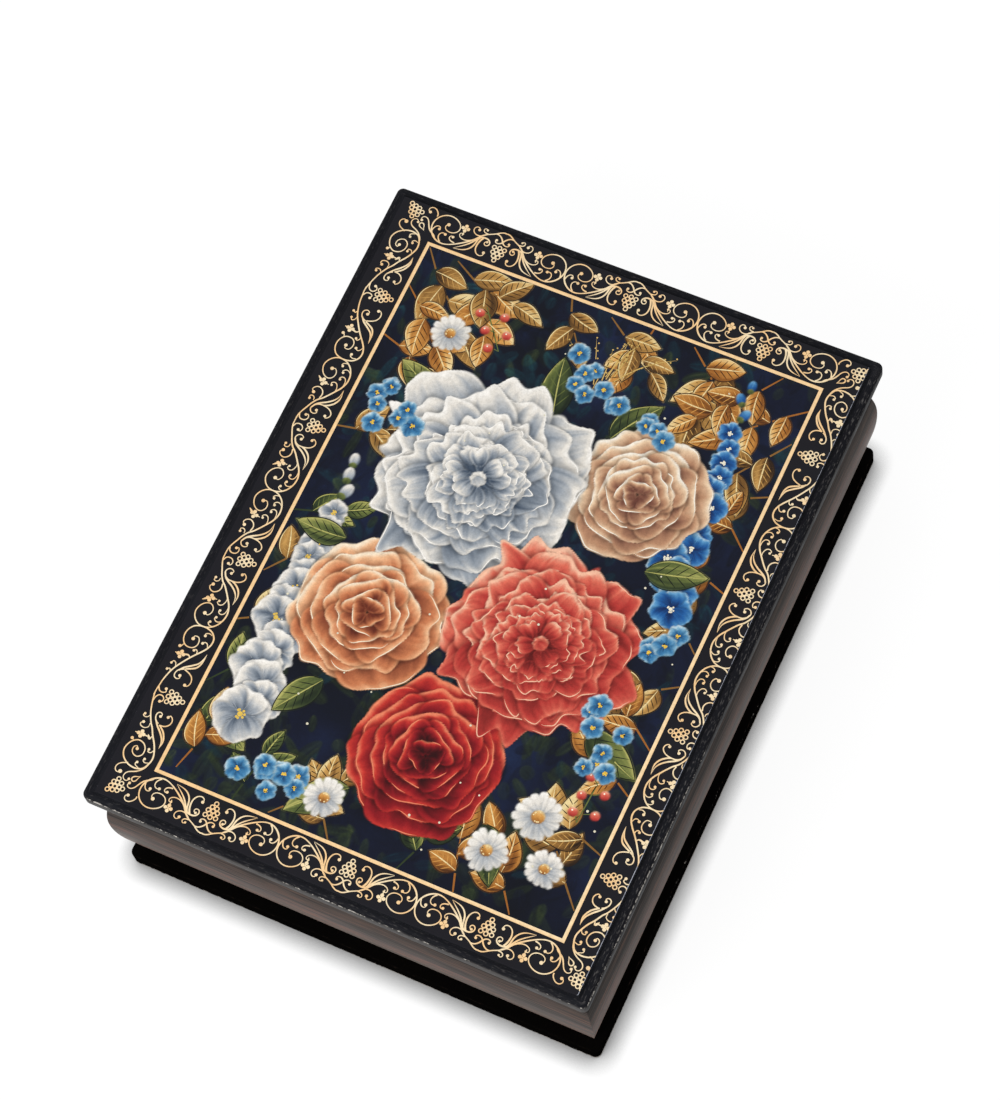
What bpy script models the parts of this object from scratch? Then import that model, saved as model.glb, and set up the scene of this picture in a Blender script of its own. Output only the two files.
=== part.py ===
"""Lacquered wooden keepsake box with a picture sheet glued on its hinged lid.

A flat base board carries four mitred walls with a soft belly. The lid board is wider than the walls, and two
brass butt hinges let into the rear wall carry it. Flocked card lines the floor and the walls.

Metres, +Z up. The origin is the centre of the base board's underside. +X is the side that opens, -X the
hinge side, and +Y the far short side.
"""

import math

import bmesh
import bpy

MM = 0.001

# Lid board: a raised panel inside a lower rounded rim
LID_WIDTH = 119.7 * MM
LID_LENGTH = 160.3 * MM
LID_THICKNESS = 5 * MM
LID_CORNER = 1.5 * MM
LEAST_CORNER = 0.2 * MM
RIM_WIDTH = 2.2 * MM
PANEL_STEP = 0.9 * MM
RIM_ROUND = 1.3 * MM
LID_ARRIS = 0.4 * MM

# Picture sheet on the raised panel
SHEET_THICKNESS = 0.2 * MM
SHEET_MARGIN = 0.1 * MM

# Base board: set back from the lid's outline
BASE_THICKNESS = 5 * MM
BASE_SETBACK_X = 1.55 * MM
BASE_SETBACK_Y = 1.8 * MM
BASE_CORNER = 0.6 * MM
BASE_ARRIS = 0.4 * MM

# Walls: the belly is two arcs, and a straight neck runs on from the upper one
WALL_HEIGHT = 39.5 * MM
WALL_THICKNESS = 9 * MM
BELLY_SETBACK_X = 1.05 * MM
BELLY_SETBACK_Y = 1.8 * MM
BELLY_HEIGHT = 20.2 * MM
NECK_HEIGHT = 30 * MM
LOWER_RADIUS = 62 * MM
UPPER_RADIUS = 43 * MM
WALL_ARRIS = 0.4 * MM
ARC_STEPS = 10

# Closed lid over the walls
LID_GAP = 0.3 * MM

# Flocked card lining
FLOOR_CARD = 1.2 * MM
SIDE_CARD = 0.8 * MM
CARD_GAP = 0.2 * MM
CARD_BELOW_EDGE = 1.8 * MM
CARD_ARRIS = 0.3 * MM

# Butt hinges
HINGE_SPACING = 92 * MM
HINGE_LENGTH = 16 * MM
BARREL_RADIUS = 1.15 * MM
BARREL_TO_WALL = 0.2 * MM
PIN_RADIUS = 0.5 * MM
PIN_CLEARANCE = 0.06 * MM
PIN_DOME = 0.25 * MM
PIN_DOME_START = 20
PIN_DOME_STEPS = 3
LEAF_THICKNESS = 0.7 * MM
LEAF_CORNER = 0.5 * MM
LEAF_BACKING = 1 * MM
KNUCKLE_GAP = 0.15 * MM
KNUCKLES = 3
MORTISE_GAP = 0.3 * MM
BARREL_GAP = 0.35 * MM

# Countersunk slotted screws
SCREW_SPACING = 9 * MM
SCREW_HEAD_RADIUS = 1.3 * MM
SCREW_SHANK_RADIUS = 0.75 * MM
SCREW_HEAD_HEIGHT = 0.5 * MM
SCREW_TIP_LENGTH = 0.9 * MM
SCREW_TIP_RADIUS = 0.1 * MM
WALL_SCREW_LENGTH = 7 * MM
LID_SCREW_LENGTH = 3.6 * MM
SLOT_WIDTH = 0.35 * MM
SLOT_DEPTH = 0.25 * MM
SCREW_GAP = 0.1 * MM
PILOT_GAP = 0.25 * MM

ROUND_SIDES = 24
CORNER_STEPS = 7
CUT_MARGIN = 1 * MM

# Levels and outlines that follow from the sizes above
WALL_FOOT = BASE_THICKNESS
WALL_TOP = WALL_FOOT + WALL_HEIGHT
LID_UNDERSIDE = WALL_TOP + LID_GAP
PANEL_TOP = LID_UNDERSIDE + LID_THICKNESS
BELLY_X = LID_WIDTH / 2 - BELLY_SETBACK_X
BELLY_Y = LID_LENGTH / 2 - BELLY_SETBACK_Y
INNER_X = BELLY_X - WALL_THICKNESS
INNER_Y = BELLY_Y - WALL_THICKNESS

LACQUER_BLACK = (0.012, 0.011, 0.013)
LACQUER_BROWN = (0.062, 0.045, 0.038)
PICTURE_GROUND = (0.020, 0.035, 0.070)
FLOCK_RED = (0.22, 0.010, 0.016)
BRASS = (0.62, 0.42, 0.17)
STEEL = (0.52, 0.51, 0.49)


def clear_scene():
    """Removes the scene's objects, so that the file can run again from a text editor."""
    for obj in list(bpy.data.objects):
        bpy.data.objects.remove(obj, do_unlink=True)


def new_material(name, color, roughness, metallic=0.0):
    material = bpy.data.materials.new(name)
    material.use_nodes = True
    shader = material.node_tree.nodes["Principled BSDF"]
    shader.inputs["Base Color"].default_value = (*color, 1.0)
    shader.inputs["Roughness"].default_value = roughness
    shader.inputs["Metallic"].default_value = metallic
    material.diffuse_color = (*color, 1.0)
    return material


def add_object(name, bm, material=None, smooth_angle=35.0):
    """Makes an object from a bmesh, with its faces turned outwards."""
    bmesh.ops.recalc_face_normals(bm, faces=bm.faces)
    mesh = bpy.data.meshes.new(name)
    bm.to_mesh(mesh)
    bm.free()
    mesh.shade_smooth()
    mesh.set_sharp_from_angle(angle=math.radians(smooth_angle))
    obj = bpy.data.objects.new(name, mesh)
    bpy.context.scene.collection.objects.link(obj)
    if material:
        mesh.materials.append(material)
    return obj


def as_cutter(obj):
    obj.hide_render = True
    obj.display_type = "WIRE"
    return obj


def boolean(obj, other, operation="DIFFERENCE"):
    modifier = obj.modifiers.new(f"{operation.title()} {other.name}", "BOOLEAN")
    modifier.operation = operation
    modifier.solver = "EXACT"
    modifier.object = as_cutter(other)


def arc(centre, radius, start, end, steps):
    """Points (across, up) on an arc round centre, from the start angle to the end angle in degrees."""
    points = []
    for step in range(steps + 1):
        angle = math.radians(start + (end - start) * step / steps)
        points.append((centre[0] + radius * math.cos(angle), centre[1] + radius * math.sin(angle)))
    return points


def rounded_rectangle(half_x, half_y, radius):
    """Points (x, y) of a rectangle with round corners, counterclockwise."""
    points = []
    for quarter, (side_x, side_y) in enumerate(((1, 1), (-1, 1), (-1, -1), (1, -1))):
        centre = (side_x * (half_x - radius), side_y * (half_y - radius))
        points += arc(centre, radius, 90 * quarter, 90 * quarter + 90, CORNER_STEPS)
    return points


def skin(bm, loops):
    """Joins loops of vertices that have equal counts, and closes the first and the last with a face."""
    for lower, upper in zip(loops, loops[1:]):
        for i in range(len(lower)):
            j = (i + 1) % len(lower)
            bm.faces.new((lower[i], lower[j], upper[j], upper[i]))
    bm.faces.new(loops[0][::-1])
    bm.faces.new(loops[-1])


def moulded_board(name, half_x, half_y, corner, profile, material):
    """A board whose edge follows profile, a list of (inset, z) from its underside up to its top."""
    bm = bmesh.new()
    loops = []
    for inset, z in profile:
        outline = rounded_rectangle(half_x - inset, half_y - inset, max(corner - inset, LEAST_CORNER))
        loops.append([bm.verts.new((x, y, z)) for x, y in outline])
    skin(bm, loops)
    return add_object(name, bm, material)


def box(name, low, high, material=None, bevel=0.0):
    """A box from its low corner to its high corner, with its edges eased by bevel."""
    bm = bmesh.new()
    bmesh.ops.create_cube(bm, size=1)
    for vert in bm.verts:
        vert.co = [(a + b) / 2 + c * (b - a) for a, b, c in zip(low, high, vert.co)]
    obj = add_object(name, bm, material)
    if bevel:
        modifier = obj.modifiers.new("Eased edges", "BEVEL")
        modifier.width = bevel
        modifier.segments = 2
    return obj


def turned(name, profile, place, material=None, down=False):
    """A solid of revolution about Z, from (radius, height) points given from its lower end to its upper."""
    bm = bmesh.new()
    loops = []
    for radius, height in profile:
        loops.append([bm.verts.new((x, y, -height if down else height)) for x, y in ring(radius)])
    skin(bm, loops)
    bmesh.ops.translate(bm, verts=bm.verts, vec=place)
    return add_object(name, bm, material)


def ring(radius):
    """The points of a circle round (0, 0)."""
    angles = [2 * math.pi * (i + 0.5) / ROUND_SIDES for i in range(ROUND_SIDES)]
    return [(radius * math.cos(angle), radius * math.sin(angle)) for angle in angles]


def rod_on_axis(bm, radius, y_low, y_high):
    """Adds a closed cylinder that lies on the hinge axis."""
    loops = []
    for y in (y_low, y_high):
        loops.append([bm.verts.new((AXIS_X + u, y, AXIS_Z + v)) for u, v in ring(radius)])
    skin(bm, loops)


def belly_inset(height):
    """How far a wall's outer face lies inside its widest line, at this height above the wall's foot."""
    from_belly = height - BELLY_HEIGHT
    if from_belly <= 0:
        return LOWER_RADIUS - math.sqrt(LOWER_RADIUS**2 - from_belly**2)
    if height <= NECK_HEIGHT:
        return UPPER_RADIUS - math.sqrt(UPPER_RADIUS**2 - from_belly**2)
    neck_rise = NECK_HEIGHT - BELLY_HEIGHT
    neck_slope = neck_rise / math.sqrt(UPPER_RADIUS**2 - neck_rise**2)
    return belly_inset(NECK_HEIGHT) + neck_slope * (height - NECK_HEIGHT)


# The hinge axis lies just behind the rear wall's top edge, and each leaf ends short of the wall's inner face
NECK_INSET = belly_inset(WALL_HEIGHT)
AXIS_X = -(BELLY_X - NECK_INSET + BARREL_TO_WALL + BARREL_RADIUS)
AXIS_Z = WALL_TOP + LID_GAP / 2
LEAF_END_X = -(INNER_X + LEAF_BACKING + MORTISE_GAP)
SCREW_X = (AXIS_X + BARREL_RADIUS + LEAF_END_X) / 2


def wall_section():
    """The wall's cross-section as (inset, height) points, up the outer face and down the inner one."""
    heights = [BELLY_HEIGHT * i / ARC_STEPS for i in range(ARC_STEPS)]
    heights += [BELLY_HEIGHT + (NECK_HEIGHT - BELLY_HEIGHT) * i / ARC_STEPS for i in range(ARC_STEPS + 1)]
    heights.append(WALL_HEIGHT - WALL_ARRIS)
    section = [(belly_inset(height), height) for height in heights]
    section.append((NECK_INSET + WALL_ARRIS, WALL_HEIGHT))
    section.append((WALL_THICKNESS - WALL_ARRIS, WALL_HEIGHT))
    section.append((WALL_THICKNESS, WALL_HEIGHT - WALL_ARRIS))
    section.append((WALL_THICKNESS, 0.0))
    return section


def mitred_wall(name, side, material):
    """One wall between two mitred corners. side is the outward direction, such as (1, 0)."""
    along = (-side[1], side[0])
    bm = bmesh.new()
    loops = []
    for end in (-1, 1):
        loop = []
        for inset, height in wall_section():
            x = (side[0] + end * along[0]) * (BELLY_X - inset)
            y = (side[1] + end * along[1]) * (BELLY_Y - inset)
            loop.append(bm.verts.new((x, y, WALL_FOOT + height)))
        loops.append(loop)
    skin(bm, loops)
    return add_object(name, bm, material)


def lid_profile():
    """(inset, z) points up the lid's edge: lower arris, side, rounded rim, step and raised panel."""
    rim_top = PANEL_TOP - PANEL_STEP
    points = arc((LID_ARRIS, LID_UNDERSIDE + LID_ARRIS), LID_ARRIS, 270, 180, 4)
    points += arc((RIM_ROUND, rim_top - RIM_ROUND), RIM_ROUND, 180, 90, 6)
    points.append((RIM_WIDTH, rim_top))
    points.append((RIM_WIDTH, PANEL_TOP))
    return points


def base_profile():
    """(inset, z) points up the base board's edge, with both arrises rounded."""
    points = arc((BASE_ARRIS, BASE_ARRIS), BASE_ARRIS, 270, 180, 4)
    points += arc((BASE_ARRIS, BASE_THICKNESS - BASE_ARRIS), BASE_ARRIS, 180, 90, 4)
    return points


def screw_profile(length):
    """(radius, height) points of a countersunk screw, head up, with its head's face at height 0."""
    return [
        (SCREW_TIP_RADIUS, -length),
        (SCREW_SHANK_RADIUS, -length + SCREW_TIP_LENGTH),
        (SCREW_SHANK_RADIUS, -SCREW_HEAD_HEIGHT),
        (SCREW_HEAD_RADIUS, 0.0),
    ]


def drive_screw(name, y, z, length, board, material, down=False):
    """A slotted screw in its bored hole in board. Its head faces up at z, or down where down is true."""
    place = (SCREW_X, y, z)
    screw = turned(name, screw_profile(length), place, material, down)
    outwards = -1 if down else 1
    low_z, high_z = sorted((z - outwards * SLOT_DEPTH, z + outwards * CUT_MARGIN))
    reach = SCREW_HEAD_RADIUS + CUT_MARGIN
    low = (SCREW_X - SLOT_WIDTH / 2, y - reach, low_z)
    high = (SCREW_X + SLOT_WIDTH / 2, y + reach, high_z)
    boolean(screw, box(f"{name}_slot", low, high))

    hole_radius = SCREW_SHANK_RADIUS + PILOT_GAP
    hole = [(hole_radius, -length - PILOT_GAP), (hole_radius, CUT_MARGIN)]
    boolean(board, turned(f"{name}_pilot", hole, place, down=down))
    return screw


def knuckle_spans(y, odd):
    """The stretches (low, high) along Y of the leaf's own knuckles."""
    pitch = HINGE_LENGTH / KNUCKLES
    spans = []
    for i in range(KNUCKLES):
        if i % 2 == odd:
            low = y - HINGE_LENGTH / 2 + i * pitch
            spans.append((low + KNUCKLE_GAP / 2, low + pitch - KNUCKLE_GAP / 2))
    return spans


def hinge_leaf(name, y, upper, material):
    """A leaf with its rolled knuckles: the outer two on the case's leaf, the middle one on the lid's."""
    own = 1 if upper else 0
    face = LID_UNDERSIDE if upper else WALL_TOP - LEAF_THICKNESS
    low = (AXIS_X, y - HINGE_LENGTH / 2, face)
    high = (LEAF_END_X, y + HINGE_LENGTH / 2, face + LEAF_THICKNESS)
    leaf = box(name, low, high, material)
    round_free_corners(leaf)

    clear = BARREL_RADIUS + BARREL_GAP
    for i, (span_low, span_high) in enumerate(knuckle_spans(y, 1 - own)):
        low = (AXIS_X - clear, span_low - KNUCKLE_GAP, AXIS_Z - clear)
        high = (AXIS_X + clear, span_high + KNUCKLE_GAP, AXIS_Z + clear)
        boolean(leaf, box(f"{name}_notch_{i}", low, high))

    bm = bmesh.new()
    for span_low, span_high in knuckle_spans(y, own):
        rod_on_axis(bm, BARREL_RADIUS, span_low, span_high)
    boolean(leaf, add_object(f"{name}_knuckles", bm), "UNION")

    bm = bmesh.new()
    reach = HINGE_LENGTH / 2 + CUT_MARGIN
    rod_on_axis(bm, PIN_RADIUS + PIN_CLEARANCE, y - reach, y + reach)
    boolean(leaf, add_object(f"{name}_bore", bm))

    head, shank = SCREW_HEAD_RADIUS + SCREW_GAP, SCREW_SHANK_RADIUS + SCREW_GAP
    through = -LEAF_THICKNESS - CUT_MARGIN
    hole = [(shank, through), (shank, -SCREW_HEAD_HEIGHT), (head, 0.0), (head, CUT_MARGIN)]
    heads_at = LID_UNDERSIDE if upper else WALL_TOP
    for i, screw_y in enumerate(screw_rows(y)):
        boolean(leaf, turned(f"{name}_hole_{i}", hole, (SCREW_X, screw_y, heads_at), down=upper))
    return leaf


def round_free_corners(leaf):
    """Rounds the two upright edges at the leaf's free end, by a bevel weight that only they have."""
    weights = leaf.data.attributes.new("bevel_weight_edge", "FLOAT", "EDGE")
    tolerance = 0.001 * MM
    for edge in leaf.data.edges:
        a, b = (leaf.data.vertices[i].co for i in edge.vertices)
        upright = (a - b).xy.length < tolerance
        weights.data[edge.index].value = float(upright and abs(a.x - LEAF_END_X) < tolerance)
    corners = leaf.modifiers.new("Rounded corners", "BEVEL")
    corners.width = LEAF_CORNER
    corners.segments = 3
    corners.limit_method = "WEIGHT"


def screw_rows(y):
    return (y - SCREW_SPACING / 2, y + SCREW_SPACING / 2)


def hinge_pin(name, y, material):
    """The pin through a hinge's knuckles, with slightly domed ends."""
    reach = HINGE_LENGTH / 2
    dome = arc((0.0, 0.0), 1.0, 270 + PIN_DOME_START, 360, PIN_DOME_STEPS)
    ends = [(PIN_RADIUS * across, -reach + PIN_DOME * out) for across, out in dome]
    bm = bmesh.new()
    loops = []
    for radius, along in ends + [(radius, -along) for radius, along in reversed(ends)]:
        loops.append([bm.verts.new((AXIS_X + u, y + along, AXIS_Z + v)) for u, v in ring(radius)])
    skin(bm, loops)
    return add_object(name, bm, material)


def cut_mortises(wall, lid, name, y):
    """Lets a hinge into the rear wall's top edge and into the lid's underside, with room for its barrel."""
    inner_x = LEAF_END_X + MORTISE_GAP
    y_low = y - HINGE_LENGTH / 2 - MORTISE_GAP
    y_high = y + HINGE_LENGTH / 2 + MORTISE_GAP
    depth = LEAF_THICKNESS + MORTISE_GAP
    outside = -LID_WIDTH / 2 - CUT_MARGIN
    low = (outside, y_low, WALL_TOP - depth)
    high = (inner_x, y_high, WALL_TOP + CUT_MARGIN)
    boolean(wall, box(f"{name}_wall_mortise", low, high))

    barrel = BARREL_RADIUS + BARREL_GAP
    low = (AXIS_X, y_low, LID_UNDERSIDE - CUT_MARGIN)
    high = (inner_x, y_high, LID_UNDERSIDE + depth)
    boolean(lid, box(f"{name}_lid_mortise", low, high))
    low = (outside, y_low - PIN_DOME, LID_UNDERSIDE - CUT_MARGIN)
    high = (AXIS_X + barrel, y_high + PIN_DOME, AXIS_Z + barrel)
    boolean(lid, box(f"{name}_barrel_slot", low, high))


def build_case(black, brown, flock):
    """The base board, the four walls and the lining. Returns the rear wall."""
    half_x = LID_WIDTH / 2 - BASE_SETBACK_X
    half_y = LID_LENGTH / 2 - BASE_SETBACK_Y
    moulded_board("base_board", half_x, half_y, BASE_CORNER, base_profile(), black)
    mitred_wall("wall_front", (1, 0), brown)
    mitred_wall("wall_near", (0, -1), brown)
    mitred_wall("wall_far", (0, 1), brown)
    line_case(flock)
    return mitred_wall("wall_rear", (-1, 0), brown)


def line_case(flock):
    """The flocked cards: one on the floor, and one against each wall that stands on it."""
    card_top = WALL_FOOT + FLOOR_CARD
    edge = WALL_TOP - CARD_BELOW_EDGE
    floor_x, floor_y = INNER_X - CARD_GAP, INNER_Y - CARD_GAP
    box("lining_floor", (-floor_x, -floor_y, WALL_FOOT), (floor_x, floor_y, card_top), flock, CARD_ARRIS)
    for name, side in (("lining_front", 1), ("lining_rear", -1)):
        x_low, x_high = sorted((side * INNER_X, side * (INNER_X - SIDE_CARD)))
        box(name, (x_low, -floor_y, card_top), (x_high, floor_y, edge), flock, CARD_ARRIS)
    end_x = INNER_X - SIDE_CARD - CARD_GAP
    for name, side in (("lining_near", -1), ("lining_far", 1)):
        y_low, y_high = sorted((side * INNER_Y, side * (INNER_Y - SIDE_CARD)))
        box(name, (-end_x, y_low, card_top), (end_x, y_high, edge), flock, CARD_ARRIS)


def build_lid(black, picture):
    """The lid board with its raised panel, and the sheet glued on it."""
    board = moulded_board("lid_board", LID_WIDTH / 2, LID_LENGTH / 2, LID_CORNER, lid_profile(), black)
    half_x = LID_WIDTH / 2 - RIM_WIDTH - SHEET_MARGIN
    half_y = LID_LENGTH / 2 - RIM_WIDTH - SHEET_MARGIN
    edge = [(0.0, PANEL_TOP), (0.0, PANEL_TOP + SHEET_THICKNESS)]
    sheet = moulded_board("picture_sheet", half_x, half_y, LEAST_CORNER, edge, picture)
    return board, sheet


def build_hinge(label, y, wall, lid, brass, steel):
    """A butt hinge at y, with its screws and its cuts in the wood. Returns the pieces that the lid lifts."""
    hinge_leaf(f"hinge_{label}_case_leaf", y, False, brass)
    hinge_pin(f"hinge_{label}_pin", y, steel)
    cut_mortises(wall, lid, f"hinge_{label}", y)
    lifted = [hinge_leaf(f"hinge_{label}_lid_leaf", y, True, brass)]
    for i, screw_y in enumerate(screw_rows(y), start=1):
        drive_screw(f"screw_{label}_case_{i}", screw_y, WALL_TOP, WALL_SCREW_LENGTH, wall, brass)
        name = f"screw_{label}_lid_{i}"
        lifted.append(drive_screw(name, screw_y, LID_UNDERSIDE, LID_SCREW_LENGTH, lid, brass, down=True))
    return lifted


def hang_on_axis(objects):
    """Parents the lid's pieces to an empty on the hinge axis."""
    axis = bpy.data.objects.new("lid_axis", None)
    axis.location = (AXIS_X, 0.0, AXIS_Z)
    bpy.context.scene.collection.objects.link(axis)
    bpy.context.view_layer.update()
    for obj in objects:
        obj.parent = axis
        obj.matrix_parent_inverse = axis.matrix_world.inverted()


def main():
    clear_scene()
    black = new_material("black_lacquer", LACQUER_BLACK, 0.28)
    brown = new_material("brown_lacquered_wood", LACQUER_BROWN, 0.25)
    picture = new_material("varnished_paper", PICTURE_GROUND, 0.2)
    flock = new_material("red_flock", FLOCK_RED, 0.95)
    brass = new_material("brass", BRASS, 0.3, 1.0)
    steel = new_material("steel", STEEL, 0.3, 1.0)
    rear_wall = build_case(black, brown, flock)
    lid_board, sheet = build_lid(black, picture)
    lifted = [lid_board, sheet]
    for label, side in (("near", -1), ("far", 1)):
        lifted += build_hinge(label, side * HINGE_SPACING / 2, rear_wall, lid_board, brass, steel)
    hang_on_axis(lifted)


main()
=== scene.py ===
"""Looks of a lacquered keepsake box with a flower picture and a gold scroll border on its lid.

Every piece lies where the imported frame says. Sizes here are millimetres unless something says otherwise, and
they become metres where a mesh is made.
"""

import logging
import math
from collections.abc import Callable
from dataclasses import dataclass
from enum import Enum
from functools import partial
from typing import Any

import bpy
import numpy as np
from mathutils import Matrix, Vector


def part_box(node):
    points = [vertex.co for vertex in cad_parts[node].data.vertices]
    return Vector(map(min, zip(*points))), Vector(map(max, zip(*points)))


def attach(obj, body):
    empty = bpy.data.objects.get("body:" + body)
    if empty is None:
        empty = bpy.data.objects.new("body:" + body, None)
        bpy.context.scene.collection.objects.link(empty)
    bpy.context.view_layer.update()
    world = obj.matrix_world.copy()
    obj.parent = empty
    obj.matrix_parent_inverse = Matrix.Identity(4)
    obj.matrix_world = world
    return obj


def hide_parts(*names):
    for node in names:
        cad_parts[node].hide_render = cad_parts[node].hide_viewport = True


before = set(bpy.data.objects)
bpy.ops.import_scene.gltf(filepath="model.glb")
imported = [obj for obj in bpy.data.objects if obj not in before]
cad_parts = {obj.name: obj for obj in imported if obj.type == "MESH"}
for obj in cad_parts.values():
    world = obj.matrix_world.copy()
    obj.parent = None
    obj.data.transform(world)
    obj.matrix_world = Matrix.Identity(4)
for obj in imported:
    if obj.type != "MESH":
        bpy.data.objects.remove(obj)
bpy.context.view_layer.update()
MM = 0.001
SHARP_ANGLE = 32.0
LOG = logging.getLogger("keepsake_box")
Adder = Callable[..., bpy.types.NodeSocket]
Corner = tuple[float, float, float]
WHITE_LIGHT = (1.0, 1.0, 1.0, 1.0)
# What makes a Mix node mix colours, and the number of the output that then holds the mix.
COLOURS = {"data_type": "RGBA", "out": 2}


def linear(hex_colour: str) -> tuple[float, float, float, float]:
    """Turns an sRGB hex colour into a linear one.

    Args:
        hex_colour: Six hex digits after a hash.

    Returns:
        Red, green, blue and an alpha of 1.
    """
    share = np.array([int(hex_colour[i : i + 2], 16) for i in (1, 3, 5)]) / 255
    light = np.where(share <= 0.04045, share / 12.92, ((share + 0.055) / 1.055) ** 2.4)
    return (*light.tolist(), 1.0)


def feed(node: bpy.types.Node, inputs: dict[str | int, Any]) -> None:
    """Gives a node its inputs: a plain value goes on the socket itself, and an output is linked to it.

    Args:
        node: The node.
        inputs: The value or the output for each input, by name or number.
    """
    for key, value in inputs.items():
        if isinstance(value, bpy.types.NodeSocket):
            node.id_data.links.new(value, node.inputs[key])
        else:
            node.inputs[key].default_value = value


def add_node(
    tree: bpy.types.NodeTree,
    kind: str,
    inputs: dict[str | int, Any] | None = None,
    out: str | int = 0,
    stops: list[tuple[float, str]] | None = None,
    **settings: Any,
) -> bpy.types.NodeSocket | None:
    """Adds a shader node with its settings and links.

    Args:
        tree: The node tree that takes the node.
        kind: The node's type after ShaderNode.
        inputs: For each input, by name or number, a plain value or the output that feeds it.
        out: The wanted output's name or number.
        stops: A colour ramp's positions and hex colours.
        settings: The node's own settings.

    Returns:
        The wanted output, or None where the node has none.
    """
    node = tree.nodes.new("ShaderNode" + kind)
    for key, value in settings.items():
        setattr(node, key, value)
    feed(node, inputs or {})
    for i, (position, colour) in enumerate(stops or []):
        ramp = node.color_ramp.elements
        stop = ramp[i] if i < len(ramp) else ramp.new(position)
        stop.position = position
        stop.color = linear(colour)
    return node.outputs[out] if node.outputs else None


def seen_straight(add: Adder) -> bpy.types.NodeSocket:
    """Gives 1 for a camera, glossy or transmission ray, or else 0: the largest of three Light Path values."""
    rays = add("LightPath").node.outputs
    seen = add("Math", {0: rays["Is Camera Ray"], 1: rays["Is Glossy Ray"]}, operation="MAXIMUM")
    return add("Math", {0: seen, 1: rays["Is Transmission Ray"]}, operation="MAXIMUM")


@dataclass(frozen=True)
class Finish:
    """A material, named for the real one. Each kind of finish says in nodes() what its shader gets."""

    name: str

    def build(self) -> bpy.types.Material:
        """Makes the material.

        Returns:
            The material, with a Principled shader that the nodes feed.
        """
        material = bpy.data.materials.new(self.name)
        material.use_nodes = True
        tree = material.node_tree
        feed(tree.nodes["Principled BSDF"], self.nodes(partial(add_node, tree)))
        return material

    def nodes(self, add: Adder) -> dict[str, Any]:
        """Adds the finish's nodes.

        Args:
            add: Adds a node to the material.

        Returns:
            What each of the shader's inputs gets.
        """
        raise NotImplementedError


def grid_faces(count: int, rows: int, columns: int, wrap: bool = False) -> np.ndarray:
    """Corner numbers of the quads of equal grids that lie one after another in a vertex list.

    Args:
        count: How many grids there are.
        rows: Vertex rows in each.
        columns: Vertex columns in each.
        wrap: Whether the last column joins the first.

    Returns:
        An array of quads, four corners each.
    """
    across = np.arange(columns if wrap else columns - 1)
    down = np.arange(rows - 1)
    first, column = np.meshgrid(down * columns, across, indexing="ij")
    following = (column + 1) % columns
    under = first + columns
    quads = np.stack([first + column, first + following, under + following, under + column], -1)
    quads = quads.reshape(-1, 4)
    starts = np.arange(count) * rows * columns
    return (starts[:, None, None] + quads[None]).reshape(-1, 4)


def make_object(
    name: str,
    points: np.ndarray,
    faces: list[np.ndarray],
    material: bpy.types.Material,
    uv: np.ndarray | None = None,
    values: dict[str, np.ndarray] | None = None,
    sharp_angle: float | None = None,
    paint: np.ndarray | None = None,
) -> bpy.types.Object:
    """Makes an object whose place is in its mesh.

    Args:
        name: The piece's name.
        points: Vertices in millimetres, any shape that ends in 3.
        faces: Arrays of corner numbers, each with its own number of corners a face.
        material: The finish.
        uv: Two pattern coordinates for each vertex.
        values: Named numbers for each vertex, which the material reads.
        sharp_angle: Degrees past which an edge is sharp, or None for smooth all over.
        paint: A linear colour for each vertex, which the material reads as paint.

    Returns:
        The object, linked into the scene.
    """
    mesh = bpy.data.meshes.new(name)
    points = np.ascontiguousarray(points, np.float64).reshape(-1, 3) * MM
    corners = np.concatenate([face.ravel() for face in faces]).astype(np.int32)
    sizes = np.concatenate([np.full(len(face), face.shape[1]) for face in faces]).astype(np.int32)
    mesh.vertices.add(len(points))
    mesh.vertices.foreach_set("co", points.ravel())
    mesh.loops.add(len(corners))
    mesh.loops.foreach_set("vertex_index", corners)
    mesh.polygons.add(len(sizes))
    mesh.polygons.foreach_set("loop_start", np.concatenate([[0], np.cumsum(sizes)[:-1]]).astype(np.int32))
    mesh.polygons.foreach_set("loop_total", sizes)
    if uv is not None:
        layer = mesh.uv_layers.new(name="Pattern")
        layer.data.foreach_set("uv", uv.reshape(-1, 2)[corners].astype(np.float32).ravel())
    for key, value in (values or {}).items():
        attribute = mesh.attributes.new(key, "FLOAT", "POINT")
        attribute.data.foreach_set("value", np.ascontiguousarray(value, np.float32).ravel())
    if paint is not None:
        attribute = mesh.attributes.new("paint", "FLOAT_COLOR", "POINT")
        opaque = np.ones((len(points), 4), np.float32)
        opaque[:, :3] = paint
        attribute.data.foreach_set("color", opaque.ravel())
    mesh.update(calc_edges=True)
    mesh.shade_smooth()
    if sharp_angle is not None:
        mesh.set_sharp_from_angle(angle=math.radians(sharp_angle))
    mesh.materials.append(material)
    obj = bpy.data.objects.new(name, mesh)
    bpy.context.scene.collection.objects.link(obj)
    return obj


def settle(obj: bpy.types.Object) -> None:
    """Applies an object's modifiers to its mesh.

    Args:
        obj: The object, which keeps no modifier.
    """
    bpy.context.view_layer.update()
    graph = bpy.context.evaluated_depsgraph_get()
    mesh = bpy.data.meshes.new_from_object(obj.evaluated_get(graph))
    mesh.name = obj.name
    obj.modifiers.clear()
    obj.data = mesh


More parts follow.
